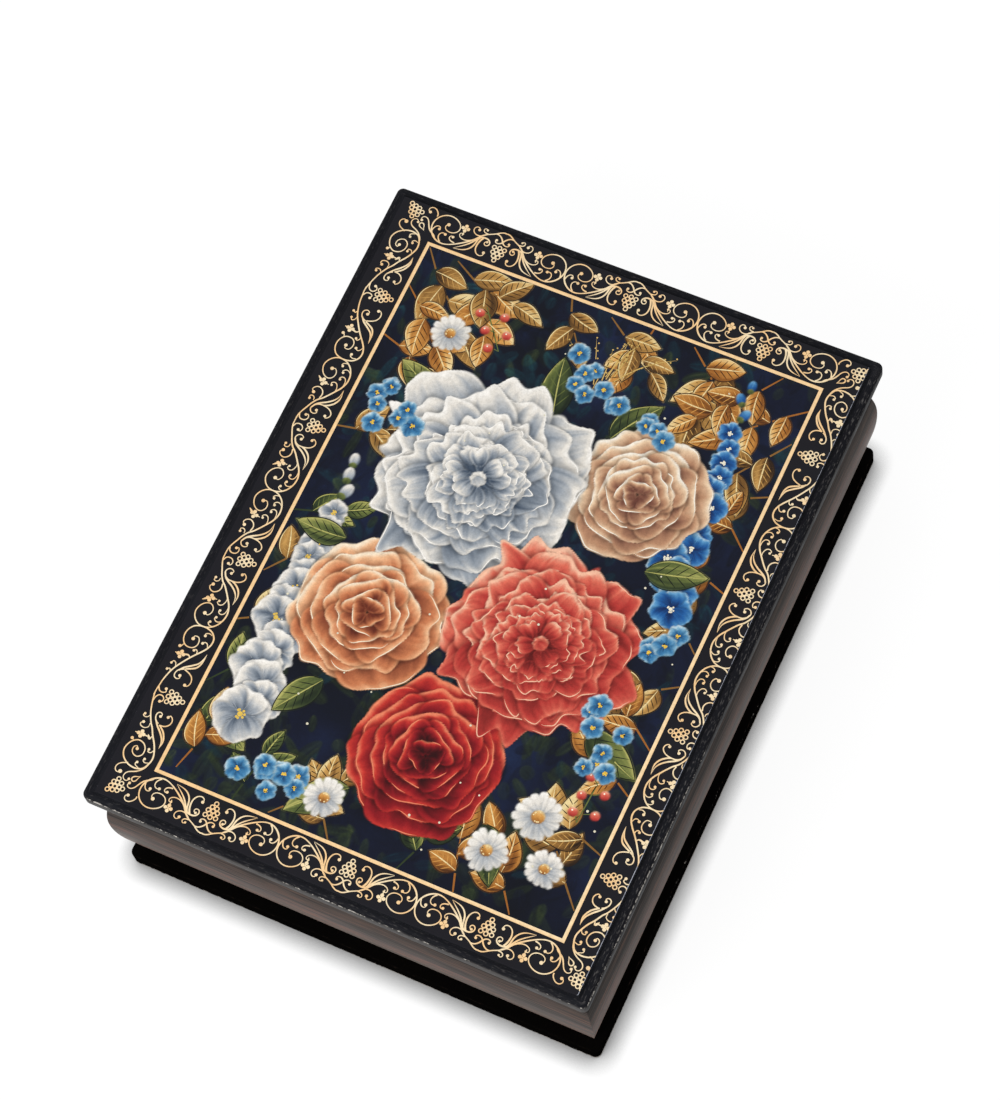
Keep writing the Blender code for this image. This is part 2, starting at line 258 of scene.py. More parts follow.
def cut_boxes(obj: bpy.types.Object, boxes: list[tuple[Corner, Corner]]) -> None:
    """Cuts boxes out of a closed object. The cut faces have a wall top's colours, painted shade included, and
    no wear.

    Args:
        obj: The object that is cut.
        boxes: The low and the high corner of each box, in millimetres.
    """
    share = np.array(np.meshgrid([0, 1], [0, 1], [0, 1], indexing="ij")).reshape(3, -1).T
    sides = np.array([[0, 1, 3, 2], [4, 6, 7, 5], [0, 4, 5, 1], [2, 3, 7, 6], [0, 2, 6, 4], [1, 5, 7, 3]])
    values = {"wear": np.zeros(8), "rise": np.ones(8)}
    cutters = []
    for i, (low, high) in enumerate(boxes):
        points = np.array(low) + share * (np.array(high) - np.array(low))
        uv = (points[:, :2] + points[:, 2:]) * MM
        cutter = make_object(f"{obj.name}_cut_{i}", points, [sides], obj.data.materials[0], uv, values)
        cutters.append(cutter)
        modifier = obj.modifiers.new(cutter.name, "BOOLEAN")
        modifier.operation = "DIFFERENCE"
        modifier.solver = "EXACT"
        modifier.object = cutter
    settle(obj)
    for cutter in cutters:
        bpy.data.meshes.remove(cutter.data)


def extent(node: str) -> tuple[Vector, ...]:
    """The lowest and the highest corner of a CAD node's box, in millimetres."""
    return tuple(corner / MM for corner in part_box(node))


def seat(piece: bpy.types.Object, body: str, node: str = "") -> None:
    """Ties a finished piece to the frame and logs it.

    Args:
        piece: The piece.
        body: The body that it rides on.
        node: The CAD node that it stands for, if there is one.
    """
    if node:
        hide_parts(node)
    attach(piece, body)
    LOG.info("%s: %d faces", piece.name, len(piece.data.polygons))


def dress(finish: Finish, starts: tuple[str, ...], end: str = "") -> None:
    """Gives CAD nodes a finish.

    Args:
        finish: The finish.
        starts: What their names may start with.
        end: What their names end with.
    """
    material = finish.build()
    for name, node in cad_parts.items():
        if name.startswith(starts) and name.endswith(end):
            node.data.materials.clear()
            node.data.materials.append(material)
    LOG.info("%s on %s*%s", finish.name, "* and ".join(starts), end)


def arc(centre: tuple[float, float], radius: float, start: float, end: float, steps: int) -> np.ndarray:
    """Points on an arc.

    Args:
        centre: Its centre.
        radius: Its radius.
        start: Its first angle in degrees.
        end: Its last angle in degrees.
        steps: How many chords it has.

    Returns:
        The points, two numbers each.
    """
    angle = np.radians(np.linspace(start, end, steps + 1))
    return np.stack([centre[0] + radius * np.cos(angle), centre[1] + radius * np.sin(angle)], -1)


def circle(sides: int) -> np.ndarray:
    """The corners of a regular polygon whose radius is 1."""
    angle = np.linspace(0, 2 * math.pi, sides, endpoint=False)
    return np.stack([np.cos(angle), np.sin(angle)], -1)


def walked(points: np.ndarray) -> np.ndarray:
    """How far along a path each of its points lies, in metres: the sum of the chords before it."""
    return np.concatenate([[0], np.cumsum(np.hypot(*np.diff(points, axis=0).T))]) * MM


@dataclass(frozen=True)
class Lacquer(Finish):
    """Gloss spirit lacquer brushed thin over a painted board, so its arrises wear through to pale primer.

    Scuffs is how strongly brush lines of about 1.7 mm by 0.4 mm, which run along the edge, show grey. The
    bare flecks are of the wear grain's size, and show where the wear times a noise is over the wear level.
    """

    colour: str
    tint: str
    bare: str
    roughness: float
    coat: float
    scuffs: float = 0.0
    scuff: str = "#8A8683"
    wear_grain: float = 0.42
    wear_level: float = 0.62

    def nodes(self, add: Adder) -> dict[str, Any]:
        """Adds the finish's nodes. The wear value on the mesh says where an arris is.

        The painted near light value greys the near side as painted lamplight; scuffing says where the scuffs
        lie.
        """
        place = add("TexCoord", out="Object")
        names = ("wear", "painted_near_light", "scuffing")
        wear, painted_near_light, scuffing = (add("Attribute", out="Fac", attribute_name=name) for name in names)
        cloud = add("TexNoise", {"Vector": place, "Scale": 90.0, "Detail": 3.0})
        plain = add("Mix", {0: cloud, 6: linear(self.colour), 7: linear(self.tint)}, **COLOURS)
        run = add("Mapping", {"Vector": add("UVMap", uv_map="Pattern"), "Scale": (600.0, 2600.0, 1.0)})
        streak = add("TexNoise", {"Vector": run, "Scale": 1.0, "Detail": 4.0, "Roughness": 0.65})
        line = add("MapRange", {0: streak, 1: 0.54, 2: 0.68})
        rubbed = add("Math", {0: scuffing, 1: self.scuffs, 2: self.scuffs * 0.08}, operation="MULTIPLY_ADD")
        scuffed = add("Math", {0: line, 1: rubbed}, operation="MULTIPLY")
        # Painted light: the near side's lacquer is greyed in brush streaks, standing for the lamp's light on
        # it.
        veil = add("MapRange", {0: streak, 1: 0.25, 2: 0.75, 3: 0.5, 4: 1.5}, clamp=False)
        grey = add("Math", {0: veil, 1: painted_near_light, 2: scuffed}, operation="MULTIPLY_ADD", use_clamp=True)
        body = add("Mix", {0: grey, 6: plain, 7: linear(self.scuff)}, **COLOURS)
        flecks = {"Vector": place, "Scale": 0.5 / (self.wear_grain * MM), "Detail": 4.0, "Roughness": 0.7}
        stretch = add("TexNoise", {"Vector": place, "Scale": 25.0, "Detail": 1.0})
        often = add("MapRange", {0: stretch, 1: 0.35, 2: 0.65, 3: 0.8, 4: 1.15})
        local = add("Math", {0: wear, 1: often}, operation="MULTIPLY")
        raised = add("Math", {0: local, 1: add("TexNoise", flecks)}, operation="MULTIPLY")
        edge = add("MapRange", {0: raised, 1: self.wear_level * 0.85, 2: self.wear_level})
        colour = add("Mix", {0: edge, 6: body, 7: linear(self.bare)}, **COLOURS)
        rough = add("TexNoise", {"Vector": place, "Scale": 260.0, "Detail": 4.0})
        low, high = self.roughness * 0.8, self.roughness * 1.25
        spread = add("MapRange", {0: rough, 1: 0.3, 2: 0.7, 3: low, 4: high})
        dulled = add("Math", {0: wear, 1: 0.3, 2: spread}, operation="MULTIPLY_ADD")
        brush = add("Bump", {"Height": streak, "Strength": 0.3, "Distance": 0.00004})
        dent = add("TexNoise", {"Vector": place, "Scale": 700.0, "Detail": 2.0})
        bump = add("Bump", {"Height": dent, "Strength": wear, "Distance": 0.00018, "Normal": brush})
        return {"Base Color": colour, "Roughness": dulled, "Normal": bump, "Specular IOR Level": self.coat}


@dataclass(frozen=True)
class StainedWood(Finish):
    """Birch stained dark brown under gloss lacquer, its grain along each wall, with painted light and shade.

    Upper and lower are the grain's colours at a wall's top and lower down, from dark lines to pale ones. The
    upper ones are darker as painted shade under the lid, and the lower ones paler and redder, as painted
    reflected light over the grain's own redder streaks. The foot colour is a painted highlight along the
    wall's foot.
    """

    name: str = "dark_stained_birch"
    upper: tuple[str, ...] = ("#262322", "#4A4441", "#5E5049", "#443E3B")
    lower: tuple[str, ...] = ("#3C3532", "#645B57", "#9C6450", "#69615D")
    foot: str = "#8C7F76"
    bare: str = "#B5A99F"

    def nodes(self, add: Adder) -> dict[str, Any]:
        """Adds the finish's nodes. The pattern runs along the wall first, and round its section second.

        The rise value is the height as a share of the wall, and a dust film lightens the wood at a low angle.
        """
        run = add("UVMap", uv_map="Pattern")
        long_run = add("Mapping", {"Vector": run, "Scale": (11.0, 300.0, 1.0)})
        streak = add("TexNoise", {"Vector": long_run, "Scale": 1.0, "Detail": 5.0, "Distortion": 0.8})
        fine_run = add("Mapping", {"Vector": run, "Scale": (60.0, 2400.0, 1.0)})
        fibre = add("TexNoise", {"Vector": fine_run, "Scale": 1.0, "Detail": 3.0})
        mixed = add("Math", {0: streak, 1: fibre, 2: 0.12}, operation="MULTIPLY_ADD")
        ramps = (list(zip((0.27, 0.37, 0.43, 0.465), colours)) for colours in (self.upper, self.lower))
        high, low = (add("ValToRGB", {"Fac": mixed}, stops=ramp) for ramp in ramps)
        rise, wear = (add("Attribute", out="Fac", attribute_name=name) for name in ("rise", "wear"))
        # Painted light and shade: darker towards the top under the lid, paler and redder lower down.
        uneven = add("Math", {0: streak, 1: 0.5, 2: rise}, operation="MULTIPLY_ADD")
        body = add("Mix", {0: add("MapRange", {0: uneven, 1: 0.62, 2: 0.98}), 6: low, 7: high}, **COLOURS)
        # Painted highlight: the pale foot colour along the foot, where the table's reflection shows at a low
        # angle.
        painted_foot_highlight = add("MapRange", {0: uneven, 1: 0.68, 2: 0.34, 3: 0.0, 4: 0.75})
        tone = add("Mix", {0: painted_foot_highlight, 6: body, 7: linear(self.foot)}, **COLOURS)
        fleck = add("TexNoise", {"Vector": add("TexCoord", out="Object"), "Scale": 500.0, "Detail": 4.0})
        raised = add("Math", {0: wear, 1: fleck}, operation="MULTIPLY")
        edge = add("MapRange", {0: raised, 1: 0.25, 2: 0.5})
        return {
            "Base Color": add("Mix", {0: edge, 6: tone, 7: linear(self.bare)}, **COLOURS),
            "Normal": add("Bump", {"Height": fibre, "Strength": 0.15, "Distance": 0.00003}),
            "Roughness": 0.3,
            "Specular IOR Level": 0.009,
            "Sheen Weight": 0.07,
            "Sheen Roughness": 0.3,
            "Sheen Tint": linear("#D8CCC2"),
        }


@dataclass(frozen=True)
class VarnishedPrint(Finish):
    """Colour print on paper, whose colour each mesh carries, under a thin varnish with a soft gloss."""

    grain: float = 0.144
    roughness: float = 0.33
    gloss: float = 0.14

    def nodes(self, add: Adder) -> dict[str, Any]:
        """Adds the finish's nodes: print grain of 0.12 mm and canvas-like mottling of 0.6 mm over paint."""
        place = add("TexCoord", out="Object")
        fine = add("TexNoise", {"Vector": place, "Scale": 4000.0, "Detail": 2.0})
        mottle = add("TexNoise", {"Vector": place, "Scale": 800.0, "Detail": 3.0})
        mixed = add("Math", {0: fine, 1: mottle}, operation="ADD")
        gain = add("MapRange", {0: mixed, 1: 0.7, 2: 1.3, 3: 1 - self.grain, 4: 1 + self.grain}, clamp=False)
        paint = add("Attribute", out="Color", attribute_name="paint")
        return {
            "Base Color": add("VectorMath", {0: paint, "Scale": gain}, operation="SCALE"),
            "Normal": add("Bump", {"Height": mottle, "Strength": 0.12, "Distance": 0.00002}),
            "Roughness": self.roughness,
            "Specular IOR Level": self.gloss,
        }


@dataclass(frozen=True)
class Flock(Finish):
    """Short nylon pile glued on card: matt, with a soft sheen at a low angle."""

    name: str = "red_flock"
    deep: str = "#4A0710"
    lit: str = "#8A1420"
    sheen: str = "#D86A70"

    def nodes(self, add: Adder) -> dict[str, Any]:
        """Adds the finish's nodes: fibre clumps of about 0.4 mm over brushed patches of about 12 mm."""
        place = add("TexCoord", out="Object")
        clump = add("TexNoise", {"Vector": place, "Scale": 2400.0, "Detail": 3.0})
        nap = add("TexNoise", {"Vector": place, "Scale": 80.0, "Detail": 2.0})
        mixed = add("Math", {0: nap, 1: 0.6, 2: clump}, operation="MULTIPLY_ADD")
        spread = add("MapRange", {0: mixed, 1: 0.55, 2: 1.05})
        return {
            "Base Color": add("Mix", {0: spread, 6: linear(self.deep), 7: linear(self.lit)}, **COLOURS),
            "Normal": add("Bump", {"Height": clump, "Strength": 0.7, "Distance": 0.00025}),
            "Roughness": 0.95,
            "Specular IOR Level": 0.15,
            "Sheen Weight": 0.6,
            "Sheen Roughness": 0.45,
            "Sheen Tint": linear(self.sheen),
        }


@dataclass(frozen=True)
class Metal(Finish):
    """Small rolled hardware, polished once and dulled since, so its gloss is uneven and warm."""

    bright: str
    dull: str
    roughness: float

    def nodes(self, add: Adder) -> dict[str, Any]:
        """Adds the finish's nodes: dull patches of about 2 mm and drawing lines along the hinge."""
        place = add("TexCoord", out="Object")
        patch = add("TexNoise", {"Vector": place, "Scale": 500.0, "Detail": 4.0})
        lines = add("Mapping", {"Vector": place, "Scale": (6000.0, 300.0, 6000.0)})
        drawn = add("TexNoise", {"Vector": lines, "Scale": 1.0, "Detail": 2.0})
        low, high = self.roughness * 0.75, self.roughness * 1.3
        return {
            "Base Color": add("Mix", {0: patch, 6: linear(self.bright), 7: linear(self.dull)}, **COLOURS),
            "Roughness": add("MapRange", {0: drawn, 1: 0.3, 2: 0.7, 3: low, 4: high}),
            "Metallic": 1.0,
        }


@dataclass(frozen=True)
class WhiteTable(Finish):
    """A matt white table. Towards the camera and in reflections it also glows, so that it renders white."""

    name: str = "white_table"
    shadow_reach: float = 0.0052
    glow: float = 0.9

    def nodes(self, add: Adder) -> dict[str, Any]:
        """Adds the finish's nodes: the glow falls with the square of how open the table is near the box."""
        near = add("AmbientOcclusion", {"Distance": self.shadow_reach}, "AO", samples=8)
        soft = add("Math", {0: near, 1: 2.0}, operation="POWER")
        glow = add("Math", {0: seen_straight(add), 1: soft}, operation="MULTIPLY")
        return {
            "Base Color": linear("#6E6E6E"),
            "Roughness": 0.9,
            "Specular IOR Level": 0.0,
            "Emission Color": WHITE_LIGHT,
            "Emission Strength": add("Math", {0: glow, 1: self.glow}, operation="MULTIPLY"),
        }


# Painted shade: the front wall, on the side away from the lamp, gets darker copies of the stain's colours.
SHADED_FRONT_WALL = StainedWood(
    "darker_stained_birch",
    ("#211D1C", "#413B38", "#54463F", "#393330"),
    ("#2E2725", "#524640", "#945B47", "#584B45"),
)
BLACK_LACQUER = Lacquer("black_lacquer", "#19191C", "#222328", "#CFC9C1", 0.26, 0.01, 0.6)
BASE_LACQUER = Lacquer(
    "matt_black_base_paint", "#060505", "#090807", "#B4ADA6", 0.55, 0.0, 0.4, "#4A3A32", 0.6
)


@dataclass
class MouldedEdge:
    """A flat board whose edge section is carried round a rectangle with round corners.

    Each value is strongest in one outward direction: wear in wear_side's, painted lamplight towards the near
    side and scuffing towards +X. The third number is the share of it that depends on the direction.
    """

    half_x: float
    half_y: float
    corner: float
    corner_steps: int = 12
    side_steps: int = 60
    wear_side: tuple[float, float, float] = (0.75, -0.66, 0.6)
    least_radius: float = 0.06
    most_use: float = 0.85

    def outline(self) -> tuple[np.ndarray, np.ndarray]:
        """Walks once round the rectangle, counterclockwise.

        Returns:
            Each point's arc centre as shares of the inner rectangle's half sides, and its outward normal.
        """
        shares, normals = [], []
        steps = np.linspace(0, math.pi / 2, self.corner_steps + 1)
        signs = np.array([(1, 1), (-1, 1), (-1, -1), (1, -1)])
        for quarter, sign in enumerate(signs):
            angle = steps + quarter * math.pi / 2
            shares.append(np.repeat(sign[None], len(angle), 0))
            normals.append(np.stack([np.cos(angle), np.sin(angle)], -1))
            part = np.linspace(0, 1, self.side_steps + 1)[1:-1, None]
            shares.append(sign + (signs[(quarter + 1) % 4] - sign) * part)
            normals.append(np.repeat(normals[-1][-1:], len(part), 0))
        return np.concatenate(shares), np.concatenate(normals)

    def build(
        self,
        name: str,
        section: np.ndarray,
        use: dict[str, np.ndarray],
        material: bpy.types.Material,
        slide: np.ndarray | None = None,
    ) -> bpy.types.Object:
        """Carries the section round the outline: a point is its arc's centre plus its normal times a radius.

        The radius is the corner's less the inset, and never under the least one, so that rings far in stay
        whole. The pattern runs along the edge, and on the two flat faces along the board.

        Args:
            name: The piece's name.
            section: (inset, height) points from the underside up to the top.
            use: How strong each kind of use, and the painted near-side light, is at each section point.
            material: The finish.
            slide: How far each section point's ring is moved sideways.

        Returns:
            The closed board.
        """
        shares, normals = self.outline()
        radius = np.maximum(self.corner - section[:, 0], self.least_radius)[:, None, None]
        inner = np.array([self.half_x, self.half_y]) - section[:, :1, None] - radius
        flat = shares * inner + normals * radius
        if slide is not None:
            flat = flat + slide[:, None]
        height = np.broadcast_to(section[:, 1, None, None], (*flat.shape[:2], 1))
        points = np.concatenate([flat, height], -1)
        count = flat.shape[1]
        under = np.arange(count)[None]
        over = under + (len(section) - 1) * count
        faces = [grid_faces(1, len(section), count, wrap=True), under[:, ::-1], over]
        sides = {"wear": self.wear_side, "painted_near_light": (0.0, -1.0, 0.9), "scuffing": (1.0, 0.0, 0.75)}
        values = {}
        for kind, strength in use.items():
            x, y, share = sides[kind]
            facing = np.clip(normals @ (x, y), 0, self.most_use)
            values[kind] = strength[:, None] * (1 - share + share * facing)
        uv = np.stack(np.broadcast_arrays(walked(flat[0])[None], walked(section)[:, None]), -1)
        uv[[0, -1]] = flat[[0, -1], :, ::-1] * MM
        return make_object(name, points, faces, material, uv, values, sharp_angle=SHARP_ANGLE)


@dataclass
class Lid:
    """The lid board with its raised panel and rounded rim. The panel lies a little nearer the near side."""

    corner: float = 1.5
    rim_width: float = 2.2
    panel_step: float = 0.9
    rim_round: float = 1.3
    arris: float = 0.4
    fillet: float = 0.15
    panel_arris: float = 0.12
    panel_slide: tuple[float, float] = (0.0, -0.4)

    def section(self, low: float, top: float) -> tuple[np.ndarray, np.ndarray, dict[str, np.ndarray]]:
        """Joins the rim's arcs: its lower arris, its round, the fillet under the panel and the panel's arris.

        Args:
            low: The underside's height.
            top: The panel's height.

        Returns:
            (inset, height) points from the underside's edge up, how far each slides, each use and the painted
            light.
        """
        rim_top = top - self.panel_step
        rounds = (
            arc((self.arris, low + self.arris), self.arris, 270, 180, 6),
            arc((self.rim_round, rim_top - self.rim_round), self.rim_round, 180, 90, 12),
            arc((self.rim_width - self.fillet, rim_top + self.fillet), self.fillet, 270, 360, 4),
            arc((self.rim_width + self.panel_arris, top - self.panel_arris), self.panel_arris, 180, 90, 4),
        )
        under = np.array([[self.arris + 0.8, low]])
        inner = np.array([[self.rim_width + 0.3, top], [self.rim_width + 0.6, top]])
        section = np.concatenate([under, *rounds, inner])
        wear, painted_near_light, scuffing = np.zeros((3, len(section)))
        wear[3:8] = (0.5, 0.8, 0.9, 0.8, 0.4)
        wear[8:14] = (0.5, 1.0, 1.26, 1.26, 1.0, 0.6)
        wear[14:21] = 0.25
        wear[-7:-2] = (0.4, 0.6, 0.7, 0.7, 0.5)
        # Painted light: the lid's near flank is greyed where the lamp lights it.
        painted_near_light[4:10] = 0.34
        painted_near_light[10:13] = (0.2, 0.1, 0.04)
        scuffing[9:21] = 0.75
        slide = np.zeros((len(section), 2))
        slide[-11:] = self.panel_slide
        return section, slide, {"wear": wear, "painted_near_light": painted_near_light, "scuffing": scuffing}

    def build(self) -> None:
        """Makes the lid board with its hinge mortises."""
        low, high = extent("lid_board")
        section, slide, use = self.section(low.z, high.z)
        edge = MouldedEdge(high.x, high.y, self.corner)
        board = edge.build("lid_with_raised_panel", section, use, BLACK_LACQUER.build(), slide)
        cut_boxes(board, Hinges().lid_cuts())
        seat(board, "lid", "lid_board")


@dataclass
class Hinges:
    """The two butt hinges: where they are let in, and their metal."""

    half_length: float = 8.0
    leaf: float = 0.7
    gap: float = 0.3
    barrel_gap: float = 0.35
    dome: float = 0.25
    outside: float = 3.0

    def leaves(self, side: str) -> list[tuple[Vector, Vector, float, float]]:
        """Finds the two leaves in the lid or in the case.

        Args:
            side: lid or case.

        Returns:
            For each leaf, its box's corners, and where its mortise starts and ends along the box.
        """
        half = self.half_length + self.gap
        boxes = [extent(f"hinge_{label}_{side}_leaf") for label in ("near", "far")]
        return [(low, high, (low.y + high.y) / 2 - half, (low.y + high.y) / 2 + half) for low, high in boxes]

    def lid_cuts(self) -> list[tuple[Corner, Corner]]:
        """The lid's mortises, and for the barrels wider slots that open to the back."""
        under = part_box("lid_board")[0].z / MM
        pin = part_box("hinge_near_pin")
        axis_x, axis_z = ((pin[0][i] + pin[1][i]) / 2 / MM for i in (0, 2))
        cuts = []
        for low, high, start, end in self.leaves("lid"):
            reach = axis_x - low.x + self.barrel_gap
            cuts.append(((axis_x, start, under - 1), (high.x + self.gap, end, under + self.leaf + self.gap)))
            back = (low.x - self.outside, start - self.dome, under - 1)
            cuts.append((back, (axis_x + reach, end + self.dome, axis_z + reach)))
        return cuts

    def wall_cuts(self) -> list[tuple[Corner, Corner]]:
        """The rear wall's mortises, open to the back and to the top."""
        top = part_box("wall_rear")[1].z / MM
        depth = self.leaf + self.gap
        return [
            ((low.x - self.outside, start, top - depth), (high.x + self.gap, end, top + 1))
            for low, high, start, end in self.leaves("case")
        ]

    def build(self) -> None:
        """Gives the hinges' and screws' own nodes their metals."""
        dress(Metal("dulled_brass", "#D9B36A", "#A9823F", 0.28), ("hinge_", "screw_"))
        dress(Metal("drawn_steel", "#B9B6B0", "#8A8783", 0.3), ("hinge_",), "_pin")


@dataclass
class Case:
    """The base board and the four bellied walls, of which the front one gets darker colours as painted shade.
    """

    belly_height: float = 20.2
    neck_height: float = 30.0
    lower_radius: float = 62.0
    upper_radius: float = 43.0
    thickness: float = 9.0
    arris: float = 0.4
    base_corner: float = 1.5
    base_arris: float = 0.4
    steps: int = 100

    def inset(self, height: np.ndarray) -> np.ndarray:
        """How far the outer face lies inside its widest line: two arcs, then a straight neck."""
        away = height - self.belly_height
        lower = self.lower_radius - np.sqrt(self.lower_radius**2 - away**2)
        upper = self.upper_radius - np.sqrt(np.maximum(self.upper_radius**2 - away**2, 0))
        rise = self.neck_height - self.belly_height
        level = math.sqrt(self.upper_radius**2 - rise**2)
        neck = self.upper_radius - level + rise / level * (height - self.neck_height)
        return np.where(away <= 0, lower, np.where(height <= self.neck_height, upper, neck))

    def section(self, height: float) -> tuple[np.ndarray, np.ndarray]:
        """(inset, height) points up the outer face and down the inner one, and the wear at each."""
        rise = np.concatenate([[0.0, 0.3, 0.6, 0.9, 1.3], np.linspace(2, height - self.arris, 44)])
        outer = np.stack([self.inset(rise), rise], -1)
        top, shoulder = self.inset(np.array([height]))[0], height - self.arris
        inner = self.thickness
        edge = [(top + self.arris, height), (inner - self.arris, height), (inner, shoulder), (inner, 0.0)]
        wear = np.zeros(len(outer) + len(edge))
        # Wear at the foot, whose pale flecks also paint the light line along it as a painted highlight.
        wear[:5] = (1.0, 0.95, 0.8, 0.5, 0.0)
        return np.concatenate([outer, np.array(edge)]), wear

    def wall(
        self, name: str, side: tuple[int, int], offset: float, material: bpy.types.Material
    ) -> bpy.types.Object:
        """Carries the section along one side between two mitres: each section point ends where the mitre is.

        Args:
            name: The node that the wall stands for.
            side: The outward direction.
            offset: Where in the grain's pattern the wall starts, in metres.
            material: The finish.

        Returns:
            The wall.
        """
        low, high = extent(name)
        long_half = high.y if side[0] else high.x
        out_half = max(abs(low.x), abs(high.x)) if side[0] else max(abs(low.y), abs(high.y))
        section, wear = self.section(high.z - low.z)
        along = (long_half - section[:, 0])[:, None] * np.linspace(-1, 1, self.steps + 1)
        out = (out_half - section[:, 0])[:, None, None]
        flat = np.array(side, float) * out + np.array([-side[1], side[0]], float) * along[..., None]
        rows, columns = shape = along.shape
        height = np.broadcast_to((low.z + section[:, 1])[:, None, None], (*shape, 1))
        i, last_row = np.arange(columns - 1), (rows - 1) * columns
        closing = np.stack([i, i + last_row, i + 1 + last_row, i + 1], -1)
        first = np.arange(rows)[None] * columns
        last = first[:, ::-1] + columns - 1
        round_section = np.broadcast_to(walked(section)[:, None] + offset, shape)
        worn = np.broadcast_to(wear[:, None], shape)
        rise = np.broadcast_to(section[:, 1:] / (high.z - low.z), shape)
        return make_object(
            name.replace("wall", "bellied_wall"),
            np.concatenate([flat, height], -1),
            [grid_faces(1, rows, columns), closing, first, last],
            material,
            uv=np.stack([along * MM + offset, round_section], -1),
            values={"wear": worn, "rise": rise},
            sharp_angle=SHARP_ANGLE,
        )

    def build(self) -> None:
        """Makes the base board and the walls."""
        stained = StainedWood().build()
        for name, side, offset, material in (
            ("wall_front", (1, 0), 0.0, SHADED_FRONT_WALL.build()),
            ("wall_rear", (-1, 0), 0.9, stained),
            ("wall_near", (0, -1), 1.7, stained),
            ("wall_far", (0, 1), 2.6, stained),
        ):
            wall = self.wall(name, side, offset, material)
            if name == "wall_rear":
                cut_boxes(wall, Hinges().wall_cuts())
            seat(wall, "case", name)
        self.build_base()

    def build_base(self) -> None:
        """Makes the base board with both arrises rounded."""
        high = extent("base_board")[1]
        round_low = arc((self.base_arris, self.base_arris), self.base_arris, 270, 180, 6)
        round_high = arc((self.base_arris, high.z - self.base_arris), self.base_arris, 180, 90, 6)
        side = np.array([[0.0, 0.75], [0.0, 1.0], [0.0, high.z - 0.9], [0.0, high.z - 0.6]])
        under, over = np.array([[1.2, 0.0]]), np.array([[1.2, high.z]])
        section = np.concatenate([under, round_low, side, round_high, over])
        wear = np.zeros(len(section))
        wear[2:9] = 1.5
        wear[11:17] = 0.9
        edge = MouldedEdge(high.x, high.y, self.base_corner)
        use = {"wear": wear, "scuffing": wear}
        board = edge.build("base_board_painted", section, use, BASE_LACQUER.build())
        seat(board, "case", "base_board")


@dataclass(frozen=True)
class Stroke:
    """One pen stroke of the scroll border.

    It starts at a point, in millimetres along the gold line and outwards from it, and its curvature runs
    through bends at equal steps. The heading is degrees from along to outwards, and ball is the radius of the
    disc that ends it, if it has one.
    """

    start: tuple[float, float]
    heading: float
    length: float
    bends: tuple[float, ...]
    widths: tuple[float, ...] = (0.26, 0.3, 0.24)
    ball: float = 0.3

    def path(self, samples: int) -> np.ndarray:
        """Sums the heading from the curvature, and the place from the heading, over equal steps.

        Args:
            samples: How many points it has.

        Returns:
            The points.
        """
        share = np.linspace(0, 1, samples)
        bend = np.interp(share, np.linspace(0, 1, len(self.bends)), self.bends)
        step = self.length / (samples - 1)
        turn = np.concatenate([[0], np.cumsum((bend[1:] + bend[:-1]) / 2)]) * step
        angle = math.radians(self.heading) + turn
        move = np.stack([np.cos(angle), np.sin(angle)], -1)
        walked = np.concatenate([[[0, 0]], np.cumsum((move[1:] + move[:-1]) / 2, axis=0)]) * step
        return np.array(self.start) + walked

    def samples(self) -> int:
        """Enough points for a chord of about 0.17 mm."""
        return max(16, int(self.length / 0.17))


@dataclass(frozen=True)
class Curl:
    """A pen stroke through points, in millimetres along the gold line and outwards from it."""

    knots: tuple[tuple[float, float], ...]
    widths: tuple[float, ...]
    ball: float = 0.0

    def path(self, samples: int) -> np.ndarray:
        """A cubic through the knots: each stretch leaves and meets a knot parallel to its neighbours' chord.

        Args:
            samples: How many points it has.

        Returns:
            The points.
        """
        knots = np.array(self.knots)
        padded = np.concatenate([2 * knots[:1] - knots[1:2], knots, 2 * knots[-1:] - knots[-2:-1]])
        place = np.linspace(0, len(knots) - 1, samples)
        i = np.minimum(place.astype(int), len(knots) - 2)
        f = (place - i)[:, None]
        before, first, second, after = padded[i], padded[i + 1], padded[i + 2], padded[i + 3]
        slope, bend = second - before, 2 * before - 5 * first + 4 * second - after
        turn = 3 * (first - second) + after - before
        return first + (slope * f + bend * f**2 + turn * f**3) / 2

    def samples(self) -> int:
        """Enough points for a chord of about 0.2 mm."""
        return max(8, int(np.linalg.norm(np.diff(self.knots, axis=0), axis=1).sum() / 0.2))


